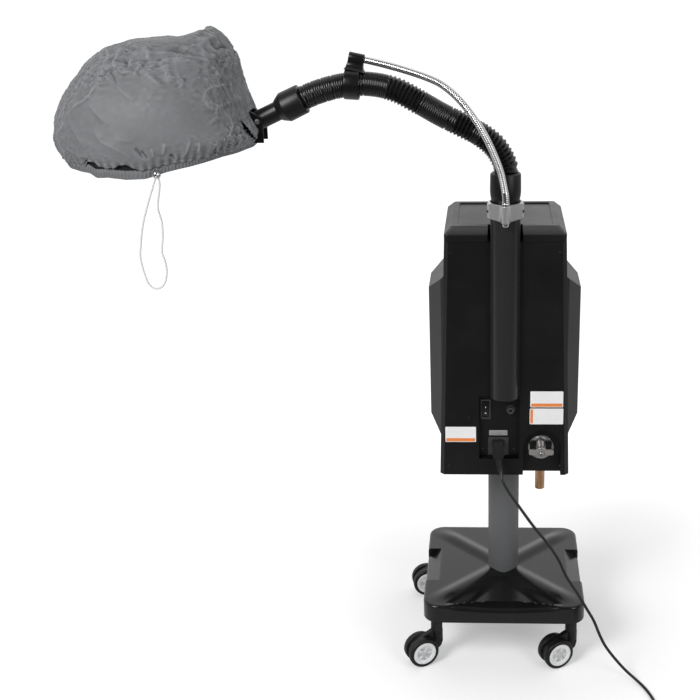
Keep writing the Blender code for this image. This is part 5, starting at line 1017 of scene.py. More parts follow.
# Folds: rise, width on either side, and route in millimetres across and up as seen from that eye
FOLDS = (
    (5.5, 16, 4, ((-733, 629), (-699, 631), (-672, 626), (-638, 615))),
    (4.0, 10, 9, ((-794, 635), (-751, 637), (-702, 644), (-651, 640))),
    (3.0, 9, 8, ((-769, 628), (-733, 624), (-702, 618), (-681, 620))),
    (6.0, 8, 6, ((-668, 638), (-642, 645), (-625, 640), (-605, 645), (-599, 659))),
    (5.0, 9, 7, ((-648, 648), (-633, 654), (-623, 663))),
    (2.5, 9, 7, ((-620, 633), (-602, 636), (-581, 630), (-569, 615))),
    (2.5, 8, 7, ((-639, 635), (-627, 624), (-623, 606))),
    (4.0, 7, 6, ((-830, 631), (-823, 609), (-833, 595))),
    (5.0, 8, 6, ((-794, 627), (-805, 609), (-812, 592), (-806, 584))),
    (5.0, 7, 6, ((-769, 606), (-778, 598), (-784, 585), (-794, 580))),
    (5.0, 7, 5, ((-763, 600), (-760, 587), (-766, 575), (-760, 566))),
    (6.0, 12, 8, ((-754, 624), (-740, 615), (-744, 599))),
    (5.0, 10, 5, ((-806, 586), (-794, 575), (-775, 576), (-766, 569))),
    (4.5, 8, 6, ((-818, 618), (-800, 624), (-775, 618), (-763, 612))),
    (-6.0, 9, 9, ((-792, 610), (-784, 592), (-789, 582))),
    (-5.0, 7, 7, ((-739, 604), (-749, 596), (-754, 587))),
    (-5.0, 7, 7, ((-718, 606), (-713, 598))),
    (-5.0, 7, 5, ((-825, 588), (-813, 566), (-807, 553))),
    (2.4, 16, 10, ((-807, 552), (-792, 535), (-769, 517))),
    (3.4, 10, 7, ((-845, 582), (-842, 563), (-844, 541))),
    (3.4, 8, 7, ((-864, 555), (-855, 542), (-862, 526), (-875, 529))),
    (2.8, 12, 8, ((-724, 606), (-711, 590), (-699, 563), (-695, 547))),
    (2.4, 12, 8, ((-755, 582), (-732, 563), (-714, 544))),
    (2.6, 11, 7, ((-703, 603), (-698, 575), (-689, 556))),
    (1.8, 13, 9, ((-684, 612), (-681, 578), (-671, 556))),
    (2.0, 12, 9, ((-737, 572), (-721, 554), (-706, 550))),
    (4.6, 15, 8, ((-559, 560), (-584, 548), (-614, 541), (-624, 527), (-620, 508), (-605, 499), (-586, 505))),
    (3.4, 13, 8, ((-614, 515), (-592, 505), (-568, 514), (-538, 518))),
    (2.4, 14, 10, ((-586, 505), (-602, 481), (-614, 468))),
    (-5.0, 7, 7, ((-599, 608), (-587, 587), (-574, 572))),
    (3.4, 9, 7, ((-575, 621), (-562, 603), (-559, 584))),
    (2.0, 14, 10, ((-626, 634), (-623, 609), (-614, 572), (-617, 547))),
    (3.4, 9, 7, ((-544, 536), (-550, 517), (-538, 493))),
    (3.0, 10, 8, ((-605, 587), (-587, 563), (-560, 563))),
    (2.4, 14, 10, ((-586, 493), (-565, 474), (-559, 450))),
    (-10.0, 5, 5, ((-543, 471), (-532, 454), (-521, 441), (-511, 434))),
    (-7.0, 5, 5, ((-542, 427), (-533, 420))),
    (4.0, 10, 6, ((-538, 478), (-526, 457), (-514, 438))),
    (-6.5, 5, 5, ((-769, 421), (-761, 411), (-750, 398))),
    (-6.5, 5, 5, ((-757, 415), (-741, 395))),
    (-6.0, 4.5, 4.5, ((-696, 406), (-682, 392))),
    (4.0, 7, 6, ((-611, 407), (-599, 426), (-594, 401))),
    (-4.0, 6, 5, ((-603, 405), (-597, 411), (-590, 403))),
    (3.0, 9, 7, ((-653, 439), (-660, 414), (-671, 398))),
    (3.0, 8, 7, ((-705, 430), (-711, 404))),
    (2.6, 8, 7, ((-733, 420), (-730, 399))),
    (2.6, 8, 7, ((-633, 432), (-636, 408))),
    (2.8, 16, 10, ((-854, 469), (-842, 438), (-811, 420), (-775, 401))),
    (2.4, 14, 9, ((-903, 481), (-893, 453), (-872, 420))),
    (2.4, 18, 10, ((-867, 517), (-848, 493), (-823, 468))),
    (4.0, 8, 7, ((-934, 450), (-918, 469), (-906, 493), (-887, 511), (-863, 527), (-842, 562), (-830, 603))),
    (1.8, 14, 10, ((-815, 441), (-787, 435), (-769, 438))),
    (2.0, 12, 9, ((-918, 426), (-891, 408), (-864, 399))),
    (-4.0, 5, 5, ((-882, 381), (-864, 387))),
    (-4.0, 5, 4, ((-700, 622), (-665, 617), (-640, 612))),
)
BAND_SECTION = (
    (-0.6, 9.0), (1.0, 6.5), (1.6, 0.0), (1.2, -6.0), (0.0, -9.0), (-2.4, -7.0), (-2.6, 2.0), (-2.0, 8.0),
)
RIM_SECTION = ((-3.4, 30.0), (-3.2, 16.0), (-3.0, 3.0), (-5.2, 3.0), (-5.4, 16.0), (-5.6, 30.0))
SLIT = ((-546, 474), (-532, 454), (-521, 441), (-511, 433))


def squared(share, power):
    return math.copysign(abs(share) ** power, share)


def bonnet_point(angle, rise, grow=0.0):
    """Point of the bonnet, by the angle round its middle and the rise from hem to crown."""
    if rise < BELLY_RISE:
        climb = 0.0
        height = 0.0
        z = BONNET_HEM + (BONNET_BELLY - BONNET_HEM) * rise / BELLY_RISE
        pull = HEM_PULL + (1.0 - HEM_PULL) * math.sin(math.pi / 2 * rise / BELLY_RISE)
    else:
        climb = math.pi / 2 * (rise - BELLY_RISE) / (1.0 - BELLY_RISE)
        height = math.sin(climb) ** 1.05
        z = BONNET_BELLY + (BONNET_CROWN - BONNET_BELLY) * height
        pull = 1.0
    level = max(0.0, math.cos(climb))
    lean = BONNET_LEAN * height ** 2.2
    across = (BONNET_HALF[0] + grow) * pull * level ** (1.2 - 0.78 * height) * squared(math.cos(angle), 0.90)
    deep = (BONNET_HALF[1] + grow) * pull * level ** 0.52 * squared(math.sin(angle), 0.86)
    drawn = ranged(LEFT_DRAW, z) if across < 0.0 else ranged(RIGHT_DRAW, z)
    x = BONNET_X + lean + across + drawn * math.cos(angle) ** 2
    hem = ranged(HEM_RISE, x) * max(0.0, 1.0 - 3.0 * rise)
    near = math.exp(-((x - KNOT_X) / KNOT_HALF) ** 2 - (deep / KNOT_DEEP) ** 2)
    knot = KNOT_RISE * near * max(0.0, height - 0.6) / 0.4
    return Vector((x, ARM_Y + deep, z + hem + knot + grow * rise))


def bonnet_patches(count, grow):
    """Even patches over the bonnet in millimetres, four sides and a top, as on half a cube."""
    half = count // 2

    def swing(number):
        return math.tan(math.pi / 4 * (2 * number / count - 1))

    def point(flat_x, flat_y, steep):
        lift = math.atan2(steep, math.hypot(flat_x, flat_y))
        return bonnet_point(math.atan2(flat_y, flat_x), lift / (math.pi / 2), grow)

    def top(column, row):
        return point(swing(row), swing(column), 1.0)

    shape = bmesh.new()
    for turn_x, turn_y in ((1, 0), (0, 1), (-1, 0), (0, -1)):
        def side(column, row, turn_x=turn_x, turn_y=turn_y):
            off = swing(column)
            return point(turn_x - turn_y * off, turn_y + turn_x * off, math.tan(math.pi / 4 * row / half))

        joined(shape, laid_grid(count, half, side))
    joined(shape, laid_grid(count, count, top))
    bmesh.ops.remove_doubles(shape, verts=shape.verts[:], dist=0.01)
    bmesh.ops.recalc_face_normals(shape, faces=shape.faces[:])
    shape.verts.index_update()
    return shape


def in_window(point, margin=0.0):
    return (
        point.x > BONNET_X + 100.0 and abs(point.y - ARM_Y) < WINDOW[0] + margin
        and WINDOW[1] - margin < point.z < WINDOW[2] + margin
    )


def draped(count=44, frames=18):
    """Bonnet cloth: slightly too large for its hoops, gathered at the seams and held at hem and window."""
    shape = bonnet_patches(count, BONNET_SLACK)
    shape.normal_update()
    turn = [abs(vert.normal.y) for vert in shape.verts]
    held = [vert.index for vert in shape.verts if vert.is_boundary or in_window(vert.co, 4.0)]
    for vert in shape.verts:
        point = vert.co
        if point.z > BONNET_HEM + 40.0:
            soft = noise.fractal(Vector((point.x / 60.0, point.y / 60.0, point.z / 90.0)), 1.0, 2.0, 3)
            point += vert.normal * (soft * 1.4)
        vert.co = point * MM
    cloth = linked("bonnet_start", shape)
    cloth.vertex_groups.new(name="held").add(held, 1.0, "REPLACE")
    seams = cloth.vertex_groups.new(name="seams")
    for index, share in enumerate(turn):
        weight = max(0.0, 1.0 - abs(share - PANEL_TURN) / SEAM_TURN)
        if weight > 0.0:
            seams.add([index], weight, "REPLACE")
    drape = cloth.modifiers.new("drape", "CLOTH")
    rule = drape.settings
    rule.quality = 6
    rule.mass = 0.12
    rule.air_damping = 2.0
    rule.tension_stiffness = 18.0
    rule.compression_stiffness = 18.0
    rule.shear_stiffness = 6.0
    rule.bending_stiffness = 0.30
    rule.vertex_group_mass = "held"
    rule.vertex_group_shrink = "seams"
    rule.shrink_min = 0.012
    rule.shrink_max = 0.08
    drape.collision_settings.distance_min = 0.0015
    drape.point_cache.frame_start = 1
    drape.point_cache.frame_end = frames
    inner = bonnet_patches(30, FORMER_SLACK)
    for vert in inner.verts:
        vert.co = vert.co * MM
    former = linked("bonnet_former", inner)
    former.modifiers.new("former", "COLLISION")
    former.collision.thickness_outer = 0.002
    former.collision.cloth_friction = 12.0
    stage = bpy.context.scene
    for number in range(1, frames + 1):
        stage.frame_set(number)
    found = cloth.evaluated_get(bpy.context.evaluated_depsgraph_get())
    mesh = bpy.data.meshes.new_from_object(found)
    stage.frame_set(1)
    result = bmesh.new()
    result.from_mesh(mesh)
    bpy.data.objects.remove(cloth)
    bpy.data.objects.remove(former)
    bpy.data.meshes.remove(mesh)
    for vert in result.verts:
        vert.co = vert.co / MM
    return result


def ridges(point, octaves):
    """Creases of crumpled cloth, from -1 in the valleys to 1 on sharp ridges."""
    total = 0.0
    weight = 1.0
    spread = 0.0
    for _ in range(octaves):
        total += weight * (1.0 - 2.4 * abs(noise.noise(point)))
        spread += weight
        point = point * 2.1 + Vector((3.1, 1.7, 5.3))
        weight *= 0.5
    return total / spread


def crumpled(shape):
    """Small creases along the middle panel, puckers at the seams and gathers at the hem."""
    shape.normal_update()
    moves = []
    for vert in shape.verts:
        point = vert.co
        normal = vert.normal
        turn = abs(normal.y)
        panel = max(0.0, min(1.0, (turn - PANEL_TURN + 0.10) / 0.20))
        seam = max(0.0, 1.0 - abs(turn - PANEL_TURN) / SEAM_TURN)
        warp = Vector((noise.noise(point / 34.0), noise.noise(point / 27.0 + Vector((5.0, 0.0, 0.0))), 0.0))
        over = Vector(((point.x + point.z) / 80.0, point.y / 13.0, (point.z - point.x) / 90.0))
        strip = ridges(over + 0.55 * warp, 2)
        crush = ridges(point / 30.0 + Vector((4.0, 9.0, 2.0)), 3)
        knot = math.exp(-((point.x - KNOT_X) / 55.0) ** 2) * max(0.0, (point.z - 1440.0) / 60.0)
        pucker = ridges(Vector((point.x / 15.0, point.z / 15.0, 0.4)), 2)
        push = (1.0 - panel) * (STRIP_PUSH * strip + (CRUSH_PUSH + KNOT_PUSH * knot) * crush)
        push += PUCKER_PUSH * seam * pucker
        low = BONNET_HEM + ranged(HEM_RISE, point.x)
        hem = max(0.0, 1.0 - (point.z - low) / 30.0)
        angle = math.atan2((point.y - ARM_Y) / BONNET_HALF[1], (point.x - BONNET_X) / BONNET_HALF[0])
        gather = math.sin(angle * 74.0 + 4.0 * noise.noise(Vector((angle * 3.0, 0.3, 0.7))))
        push += GATHER_PUSH * hem * gather
        if not in_window(point, 10.0):
            moves.append((vert, normal * push))
    for vert, move in moves:
        vert.co += move


def seen(places):
    """Millimetres across and up of places as they are seen from the rear."""
    back, height, drop, distance = SEEN_FROM
    y = places[:, 1] - back
    z = places[:, 2] - height
    scale = distance / (y * math.cos(drop) - z * math.sin(drop))
    return places[:, 0] * scale, (y * math.sin(drop) + z * math.cos(drop)) * scale


def beside(across, up, route):
    """Distance from a route, its side and the share of the route, for places across and up."""
    line = smooth_route([Vector((u, v, 0.0)) for u, v in route], 5.0)
    nearest = numpy.full(len(across), 1e9)
    side = numpy.zeros(len(across))
    share = numpy.zeros(len(across))
    for number, (first, second) in enumerate(zip(line, line[1:])):
        step = second - first
        part = ((across - first.x) * step.x + (up - first.y) * step.y) / step.length_squared
        part = numpy.clip(part, 0.0, 1.0)
        off_u = across - first.x - part * step.x
        off_v = up - first.y - part * step.y
        gap = numpy.hypot(off_u, off_v)
        closer = gap < nearest
        nearest = numpy.where(closer, gap, nearest)
        side = numpy.where(closer, step.x * off_v - step.y * off_u, side)
        share = numpy.where(closer, (number + part) / (len(line) - 1), share)
    return nearest, side, share


def folded(shape):
    """Folds of the rear side, given in millimetres across and up as they are seen from the rear."""
    shape.normal_update()
    normals = numpy.array([vert.normal[:] for vert in shape.verts])
    across, up = seen(numpy.array([vert.co[:] for vert in shape.verts]))
    drop = SEEN_FROM[2]
    towards = normals[:, 2] * math.sin(drop) - normals[:, 1] * math.cos(drop)
    shown = numpy.clip((towards + 0.05) / 0.35, 0.0, 1.0)
    push = numpy.zeros(len(across))
    for rise, wide, steep, route in FOLDS:
        nearest, side, share = beside(across, up, route)
        width = 0.78 * numpy.where(side > 0.0, wide, steep)
        ends = numpy.clip(3.5 * numpy.minimum(share, 1.0 - share), 0.0, 1.0) ** 0.7
        push += rise * ends * numpy.exp(-1.3 * (nearest / width) ** 1.15)
    push *= shown
    for vert, normal, amount in zip(shape.verts, normals, push):
        if amount and not in_window(vert.co, 8.0):
            vert.co += Vector(normal) * float(amount)


def slit(shape):
    """Gap of the cloth beside the bracket."""
    centres = [face.calc_center_median() for face in shape.faces]
    across, up = seen(numpy.array([centre[:] for centre in centres]))
    nearest, _, share = beside(across, up, SLIT)
    open_faces = [
        face for face, centre, gap, part in zip(shape.faces, centres, nearest, share)
        if gap < 3.4 * math.sin(math.pi * (0.12 + 0.8 * part)) and centre.y < ARM_Y - 10.0
    ]
    bmesh.ops.delete(shape, geom=open_faces, context="FACES")


def creased(shape):
    """Bend of the cloth at each vertex, from -1 in a valley to 1 on a crest, kept as an attribute; the
    cloth's colour uses it as painted highlight on crests and painted shade in valleys.
    """
    shape.normal_update()
    shape.verts.index_update()
    layer = shape.verts.layers.float.new("crease")
    bends = []
    for vert in shape.verts:
        near = [edge.other_vert(vert).co for edge in vert.link_edges]
        middle = sum(near, Vector()) / len(near)
        span = sum((place - vert.co).length_squared for place in near) / len(near)
        bends.append(2.0 * (vert.co - middle).dot(vert.normal) / span)
    for vert in shape.verts:
        near = [bends[edge.other_vert(vert).index] for edge in vert.link_edges]
        bend = 0.5 * bends[vert.index] + 0.5 * sum(near) / len(near)
        vert[layer] = max(-1.0, min(1.0, 5.0 * bend))


def lifted(shape):
    """Hem edge of the rear side, which hangs out over the elastic band and gapes in two places."""
    for vert in shape.verts:
        point = vert.co
        near = max(0.0, min(1.0, (ARM_Y - 40.0 - point.y) / 60.0))
        low = BONNET_HEM + ranged(HEM_RISE, point.x)
        share = near * max(0.0, min(1.0, 1.0 - (point.z - low) / 36.0))
        lift = ranged(HEM_LIFT, point.x) * share ** 1.4
        vert.co += Vector((0.0, -0.32 * lift, lift))


def bonnet():
    softened("hood_bracket", BLACK, 0.0008, 2)
    shape = draped()
    bmesh.ops.delete(
        shape, geom=[face for face in shape.faces if in_window(face.calc_center_median())], context="FACES",
    )
    bmesh.ops.subdivide_edges(shape, edges=shape.edges[:], cuts=1, use_grid_fill=True, smooth=0.6)
    shape.normal_update()
    towards = Vector((0.0, -0.94, 0.35))
    shown = [face for face in shape.faces if face.normal.dot(towards) > FINE_FROM]
    edges = list({edge for face in shown for edge in face.edges})
    bmesh.ops.subdivide_edges(shape, edges=edges, cuts=1, use_grid_fill=True, smooth=0.6)
    crumpled(shape)
    folded(shape)
    slit(shape)
    lifted(shape)
    creased(shape)
    for vert in shape.verts:
        vert.co = at(*vert.co)
    area = sum(face.calc_area() for face in shape.faces)
    cloth = piece("bonnet_cloth", shape, CLOTH, "hood", ("bonnet",), 180.0)
    wall = cloth.modifiers.new("wall", "SOLIDIFY")
    wall.thickness = CLOTH_WALL
    wall.offset = -1.0
    band = hem_band("hem_band", BAND_SECTION, CLOTH, 1.2)
    rim = hem_band("inner_rim", RIM_SECTION, LEAD, 0.0)


def hem_band(name, section, look, ruche):
    """Band along the hem, ruched like a drawn elastic."""
    columns = 1520
    frames = []
    for column in range(columns):
        angle = math.tau * column / columns
        ahead = bonnet_point(angle + 0.002, 0.0) - bonnet_point(angle - 0.002, 0.0)
        out = Vector((ahead.y, -ahead.x, 0.0)).normalized()
        round_hem = Vector((math.cos(angle), math.sin(angle), 0.0))
        swell = ruche * math.sin(angle * 190.0 + 3.0 * noise.noise(round_hem * 6.0 + UP * 0.5))
        drop = 2.2 * noise.noise(round_hem * 4.0 + UP * 2.5)
        frames.append((bonnet_point(angle, 0.0) + UP * drop, out, swell))

    def place(column, number):
        base, out, swell = frames[column % columns]
        u, v = section[number % len(section)]
        return at(*(base + out * (u + swell * (1.0 if u > 0.0 else -0.4)) + UP * v))

    shape = laid_grid(columns, len(section), place)
    return piece(name, shape, look, "hood", (), 80.0)


# Stand

# Casters: place, X and Y of the stem, turn of the fork in degrees
CASTERS = (
    ("rear_left", -163.0, -153.0, 27.0), ("front_left", -163.0, 153.0, 12.0),
    ("rear_right", 163.0, -153.0, 27.0), ("front_right", 163.0, 153.0, 12.0),
)
TRAIL = 42.0
WHEEL_RADIUS = 37.5
TYRE_PROFILE = (
    (12.0, 6.6), (34.6, 6.6), (36.4, 7.3), (37.3, 9.0), (37.5, 11.0), (37.5, 18.0), (37.2, 20.4),
    (36.2, 22.2), (34.4, 23.2), (31.6, 23.6), (30.0, 23.3), (29.3, 22.4), (29.1, 20.6), (12.0, 20.6),
)
HUB_RING = (
    (18.6, 20.7), (28.8, 20.7), (28.8, 22.7), (28.2, 23.3), (26.9, 23.4), (21.0, 23.1), (19.6, 22.6),
    (18.6, 21.6),
)
HUB_DISH = (
    (0.0, 20.7), (18.5, 20.7), (18.5, 21.4), (16.8, 21.7), (13.6, 21.0), (9.6, 21.2), (8.0, 22.2),
    (6.8, 23.0), (4.6, 23.4), (0.0, 23.4),
)


def casters():
    """Twin wheels with white-silver hub discs on hooded forks."""
    for place, x, y, degrees in CASTERS:
        turn = math.radians(degrees)
        hub = at(x - TRAIL * math.cos(turn), y - TRAIL * math.sin(turn), WHEEL_RADIUS)
        axle = Vector((-math.sin(turn), math.cos(turn), 0.0))
        body = f"caster_{place}"
        wheels = f"{body}_wheels"
        softened(f"{body}_fork", BLACK, 0.0022, 3)
        for side, out in (("inner", axle), ("outer", -axle)):
            lay = facing(hub, out)
            tyre = turned(TYRE_PROFILE, lay, 72, ring=True)
            piece(f"{body}_tyre_{side}", tyre, TYRE, wheels, (f"{body}_wheel_{side}",))
            piece(f"{body}_hub_{side}", turned(HUB_RING, lay, 72, ring=True), HUB, wheels)
            piece(f"{body}_dish_{side}", turned(HUB_DISH, lay, 72), DISH, wheels)
            for number in range(5):
                spoke = lay @ Matrix.Rotation(math.tau * number / 5, 4, "Z")
                web = prism(((7.6, -1.5), (18.4, -2.6), (18.4, 2.6), (7.6, 1.5)), 20.9, 21.9, spoke, 0.4)
                piece(f"{body}_spoke_{side}_{number}", web, HUB, wheels)


BASE_HALF = 193.0
BASE_CORNER = 38.0
BASE_TOP = 172.0
BASE_LOW = 127.0
BASE_ROUND = 6.0
BASE_CEILING = 142.4
COLUMN_HOLE = 37.9
SCOOP_IN, SCOOP_HALF, SCOOP_DEPTH = 158.0, 75.0, 22.0
HOLLOW_IN, HOLLOW_OUT = -49.5, -186.0
HOLLOW_HALVES = (22.0, 138.0)
HOLLOW_DEPTH, HOLLOW_DEEPER = 3.0, 18.0
HOLLOW_EDGE, HOLLOW_EASE = 12.0, 46.0
ARCH_RISE, ARCH_EASE = 20.0, 11.0
CRESCENT_SLOPE, CRESCENT_EASE = 0.45, 30.0
RIDGE_REACH, RIDGE_FADE = 256.0, 80.0
RIDGE_RISE, RIDGE_HALF = 5.6, 30.0
SKIRT_WALL = 4.0


def eased(share):
    share = max(0.0, min(1.0, share))
    return share * share * (3.0 - 2.0 * share)


def base_height(x, y):
    """Top of the base: ridges on both diagonals, a hollow between the rear ones, a scoop at each side."""
    ridge = 0.0
    for off, along in ((x - y, x + y), (x + y, x - y)):
        fade = eased((RIDGE_REACH - abs(along) / math.sqrt(2.0)) / RIDGE_FADE)
        ridge = max(ridge, RIDGE_RISE * fade * eased(1.0 - abs(off) / math.sqrt(2.0) / RIDGE_HALF))
    height = BASE_TOP + ridge
    if y < HOLLOW_IN:
        part = (HOLLOW_IN - y) / (HOLLOW_IN - HOLLOW_OUT)
        half = HOLLOW_HALVES[0] + (HOLLOW_HALVES[1] - HOLLOW_HALVES[0]) * part
        arch = HOLLOW_OUT + ARCH_RISE * (1.0 - (x / HOLLOW_HALVES[1]) ** 2)
        depth = (HOLLOW_DEPTH + HOLLOW_DEEPER * part) * eased(part * 9.0)
        depth *= eased((half + HOLLOW_EDGE - abs(x)) / HOLLOW_EASE)
        crescent = CRESCENT_SLOPE * max(0.0, arch - y) * eased((half - abs(x)) / CRESCENT_EASE)
        height -= depth * eased((y - arch) / ARCH_EASE) + crescent
    if abs(x) > SCOOP_IN and abs(y) <= SCOOP_HALF:
        height = BASE_TOP - SCOOP_DEPTH * (abs(x) - SCOOP_IN) / (BASE_HALF - SCOOP_IN)
    return height


def base_point(x, y):
    """Place on the top of the base; the corner squares of the grid are drawn in to quarter discs."""
    flat = BASE_HALF - BASE_CORNER
    u, v = (abs(x) - flat) / BASE_CORNER, (abs(y) - flat) / BASE_CORNER
    inset = BASE_HALF - max(abs(x), abs(y))
    if u > 0.0 and v > 0.0:
        reach = max(u, v)
        angle = math.pi / 4 * (v / u) if u >= v else math.pi / 2 - math.pi / 4 * (u / v)
        x = math.copysign(flat + BASE_CORNER * reach * math.cos(angle), x)
        y = math.copysign(flat + BASE_CORNER * reach * math.sin(angle), y)
        inset = BASE_CORNER * (1.0 - reach)
    short = BASE_ROUND - min(BASE_ROUND, inset)
    return Vector((x, y, base_height(x, y) - BASE_ROUND + math.sqrt(BASE_ROUND ** 2 - short ** 2)))


def base_ticks():
    """Grid lines of the base cover: even ones, and closer ones on the scoops and the rounded rim."""
    flat = BASE_HALF - BASE_ROUND
    even = [flat * (2.0 * step / 112 - 1.0) for step in range(113)]
    fixed = [SCOOP_IN, SCOOP_HALF, SCOOP_HALF + 0.5]
    fixed += [flat + BASE_ROUND * math.sin(math.radians(10.0 * step)) for step in range(1, 10)]
    fixed += [-place for place in fixed]
    return sorted([tick for tick in even if all(abs(tick - place) > 1.2 for place in fixed)] + fixed)


def dropped(shape, edges, scale, height):
    """Carry an edge loop on to another height; returns the new loop."""
    drawn = bmesh.ops.extrude_edge_only(shape, edges=edges)["geom"]
    for vert in [item for item in drawn if isinstance(item, bmesh.types.BMVert)]:
        vert.co = Vector((vert.co.x * scale, vert.co.y * scale, height))
    return [item for item in drawn if isinstance(item, bmesh.types.BMEdge) and len(item.link_faces) == 1]


def base_cover():
    """Moulded cover of the base, with its skirt and its hollow underside."""
    ticks = base_ticks()
    last = len(ticks) - 1
    shape = laid_grid(last, last, lambda column, row: base_point(ticks[column], ticks[row]))
    inside = [face for face in shape.faces if face.calc_center_median().xy.length < COLUMN_HOLE - 1.0]
    bmesh.ops.delete(shape, geom=inside, context="FACES")
    edges = [edge for edge in shape.edges if edge.is_boundary]
    hole = [edge for edge in edges if edge.verts[0].co.xy.length < BASE_HALF / 2]
    for vert in {vert for edge in hole for vert in edge.verts}:
        vert.co.xy = vert.co.xy.normalized() * COLUMN_HOLE
    rim = [edge for edge in edges if edge not in hole]
    rim = dropped(shape, rim, 1.0, BASE_LOW)
    rim = dropped(shape, rim, 1.0 - SKIRT_WALL / BASE_HALF, BASE_LOW)
    rim = dropped(shape, rim, 1.0, BASE_CEILING)
    hole = dropped(shape, hole, 1.0, BASE_CEILING)
    bmesh.ops.bridge_loops(shape, edges=rim + hole)
    for vert in shape.verts:
        vert.co = at(*vert.co)
    piece("base_moulding", shape, BASE, "stand", ("base_cover",), 42.0)


def stand():
    base_cover()
    softened("base_plate", BLACK_PAINT, 0.0008, 2)
    tube = turned(
        ((34.5, 138.3), (37.1, 138.3), (37.5, 138.7), (37.5, 567.9), (37.1, 568.3), (34.5, 568.3)),
        facing(at(0, 0, 0), UP), 96, ring=True,
    )
    piece("column_tube", tube, PAINT, "stand", ("column",))
    casters()


# Housing

REAR_FACE = -142.0
RECESS_FACE = -130.0
LAID = 0.02
REAR_SCREWS = ((-80, 640), (50, 640), (-128, 520), (128, 520), (-118, 1030), (118, 1030))


def flat_place(x, y, z, side=-1.0):
    """Matrix of a flat piece on the rear (side -1) or the front (side 1): its X is across, its Y is up."""
    return Matrix.Translation(at(x, y, z)) @ Matrix((
        (-side, 0.0, 0.0, 0.0), (0.0, 0.0, side, 0.0), (0.0, 1.0, 0.0, 0.0), (0.0, 0.0, 0.0, 1.0),
    ))


def sticker(name, x, z, width, height, bar):
    """Blank white label with one plain orange bar, given as its middle and its size."""
    lay = flat_place(x, REAR_FACE - LAID, z)
    label = prism(rounded_rectangle(width, height, 2.0), 0.0, 0.25, lay, 0.08, 1)
    piece(name, label, WHITE, "stand")
    u, v, bar_width, bar_height = bar
    outline = [(u + a, v + b) for a, b in rounded_rectangle(bar_width, bar_height, 1.2)]
    piece(f"{name}_bar", prism(outline, 0.25, 0.32, lay), ORANGE, "stand")


def housing():
    softened("rear_cover", REAR_COVER, 0.0014, 3)
    softened("front_shell", SHELL, 0.0016, 3)
    softened("top_cover", SATIN, 0.0014, 3)
    softened("bottom_tray", BLACK, 0.0008, 2)
    sticker("sticker_upper", 95.0, 687.0, 74.0, 39.0, (0.0, -14.0, 70.0, 8.0))
    sticker("sticker_lower", 95.0, 645.0, 76.0, 39.0, (-33.5, 0.0, 6.0, 35.0))
    sticker("sticker_left", -100.0, 599.5, 70.0, 38.0, (0.0, -13.5, 66.0, 8.0))
    for number, (x, z) in enumerate(REAR_SCREWS):
        screw(f"rear_screw_{number}", at(x, REAR_FACE, z), REAR, 3.2, "stand", BLACK)
    for number, x in enumerate((-51.0, 22.0)):
        screw(f"recess_screw_{number}", at(x, RECESS_FACE, 557), REAR, 2.6, "stand", SHELL)


# Electrics

PLATE_HEIGHT = 598.5
FUSE_X, FUSE_Z = 14.0, 657.0
FUSE_CAP = (
    (0.0, -7.2), (2.2, -7.2), (2.8, -6.6), (3.4, -0.6), (4.2, 0.0), (6.6, 0.0), (7.6, -0.5), (8.0, -1.6),
    (8.0, -8.6), (8.3, -9.3), (10.5, -9.6), (10.5, -11.9), (0.0, -11.9),
)


def rocker_marks():
    """Bar on the upper half of the rocker and ring on its lower half, which leans inwards."""
    low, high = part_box("switch_rocker")
    middle = (low + high) / 2
    for name, rise, lean in (("bar", 0.30, 0.0123), ("ring", -0.48, 0.233)):
        up = rise * (high.z - low.z) / 2
        along = Vector((0.0, math.copysign(lean, up), 1.0)).normalized()
        out = Vector((1.0, 0.0, 0.0)).cross(along)
        lay = Matrix((
            (1.0, 0.0, 0.0, middle.x),
            (0.0, along.y, out.y, low.y + lean * abs(up)),
            (0.0, along.z, out.z, middle.z + up),
            (0.0, 0.0, 0.0, 1.0),
        ))
        if name == "bar":
            shape = prism(rounded_rectangle(1.1, 4.0, 0.4, 3), -0.05, 0.08, lay)
        else:
            shape = turned(((1.5, -0.05), (2.2, -0.05), (2.2, 0.08), (1.5, 0.08)), lay, 32, ring=True)
        piece(f"rocker_{name}", shape, MARK, "switch_rocker")


def electrics():
    softened("switch_bezel", SHELL, 0.0007, 3)
    softened("switch_rocker", GLOSS, 0.0009, 3)
    rocker_marks()
    softened("inlet_socket", SHELL, 0.0008, 2)
    softened("appliance_connector", LEAD, 0.0014, 3)
    lay = flat_place(-14.0, RECESS_FACE - LAID, PLATE_HEIGHT)
    plate = prism(rounded_rectangle(42.0, 13.0, 2.0), 0.0, 0.6, lay, 0.2)
    piece("rating_plate", plate, BARE_PLATE, "stand")
    for number, x in enumerate((-31.0, 3.0)):
        screw(f"plate_screw_{number}", at(x, RECESS_FACE - 0.6, PLATE_HEIGHT), REAR, 1.5, "stand")
    front = (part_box("fuse_holder")[0].y - HOME.y) / MM
    cap = turned(FUSE_CAP, facing(at(FUSE_X, front, FUSE_Z), REAR), 48)
    piece("fuse_cap", cap, SHELL, "stand", ("fuse_holder",))
    start, aim = relief_line()
    for number in range(6):
        reach = 8.0 + 4.4 * number
        radius = 7.6 - 0.42 * number
        profile = ((3.4, -1.3), (radius, -1.3), (radius + 0.5, 0.0), (radius, 1.3), (3.4, 1.3))
        ring = turned(profile, facing(at(*(start + aim * reach)), aim), 40, ring=True)
        piece(f"relief_ring_{number}", ring, LEAD, "stand")


# Drain

DRAIN_X, DRAIN_Y = 84.0, -102.2


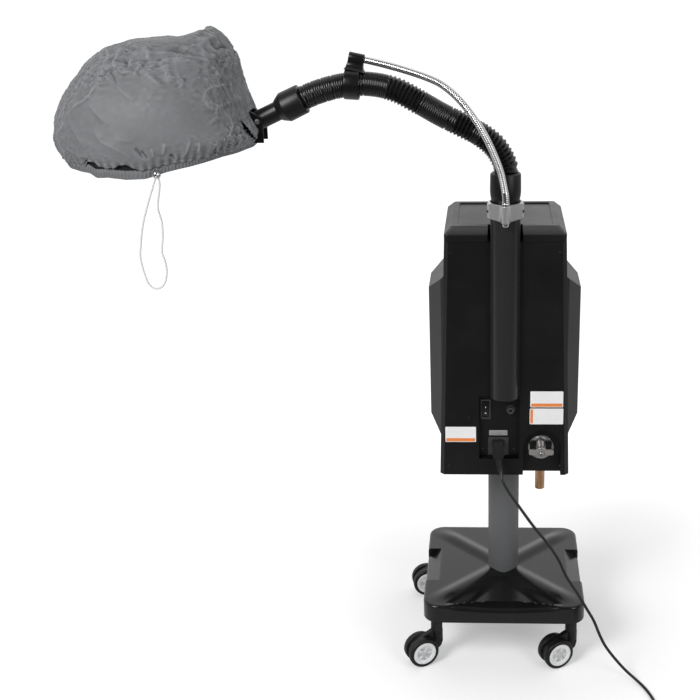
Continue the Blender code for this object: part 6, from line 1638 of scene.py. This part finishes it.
def drain():
    softened("valve_plate", CHROME, 0.0005, 2)
    softened("drain_valve", NICKEL, 0.0006, 2)
    softened("drain_handle", NICKEL, 0.0014, 3)
    softened("handle_nut", STEEL, 0.0006, 2)
    low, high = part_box("drain_pipe")
    top = high.z / MM
    foot = low.z / MM
    profile = (
        (9.5, foot + 0.4), (10.0, foot), (10.7, foot), (11.0, foot + 0.5), (11.0, top - 0.4), (10.6, top),
        (9.5, top),
    )
    pipe = turned(profile, facing(at(DRAIN_X, DRAIN_Y, 0), UP), 56, ring=True)
    piece("copper_pipe", pipe, COPPER, "stand", ("drain_pipe",))


# Front controls

TIMER_FACE, TIMER_HEIGHT = 128.32, 870.0
MARK_REACH = 33.0
POINTER_DROP = 6.0


def front_controls():
    softened("control_panel", SATIN, 0.0008, 2)
    softened("timer_knob", BLACK, 0.0010, 3)
    softened("steam_lamp", LENS, 0.0010, 3)
    low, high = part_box("timer_knob")
    rim = (Vector(((low.x + high.x) / 2, high.y, high.z)) - HOME) / MM
    lay = flat_place(*(rim - UP * POINTER_DROP), 1.0)
    shape = prism(rounded_rectangle(1.6, 7.0, 0.7, 3), -0.05, 0.12, lay)
    piece("knob_pointer", shape, MARK, "timer_knob")
    for number in range(11):
        angle = math.radians(-150.0 + 30.0 * number)
        lay = flat_place(0.0, TIMER_FACE, TIMER_HEIGHT, 1.0) @ Matrix.Rotation(-angle, 4, "Z")
        lay = lay @ Matrix.Translation((0.0, MARK_REACH * MM, 0.0))
        outline = rounded_rectangle(1.6, 5.0 if number % 5 else 8.0, 0.7, 3)
        piece(f"timer_mark_{number}", prism(outline, 0.0, 0.15, lay), MARK, "stand")


def rest():
    """Nodes that are shown as they are."""
    looks = {
        "boiler": STEEL, "heater": STEEL, "steam_pipe": COPPER, "steam_spigot": NICKEL,
        "hood_hoop_rear": STEEL, "hood_hoop_front": STEEL,
    }
    for place, _, _, _ in CASTERS:
        looks[f"caster_{place}_axle"] = STEEL
    for name, look in looks.items():
        for slot in NODES[name].material_slots:
            slot.material = look


studio()
cords()
arm()
bonnet()
stand()
housing()
electrics()
drain()
front_controls()
rest()
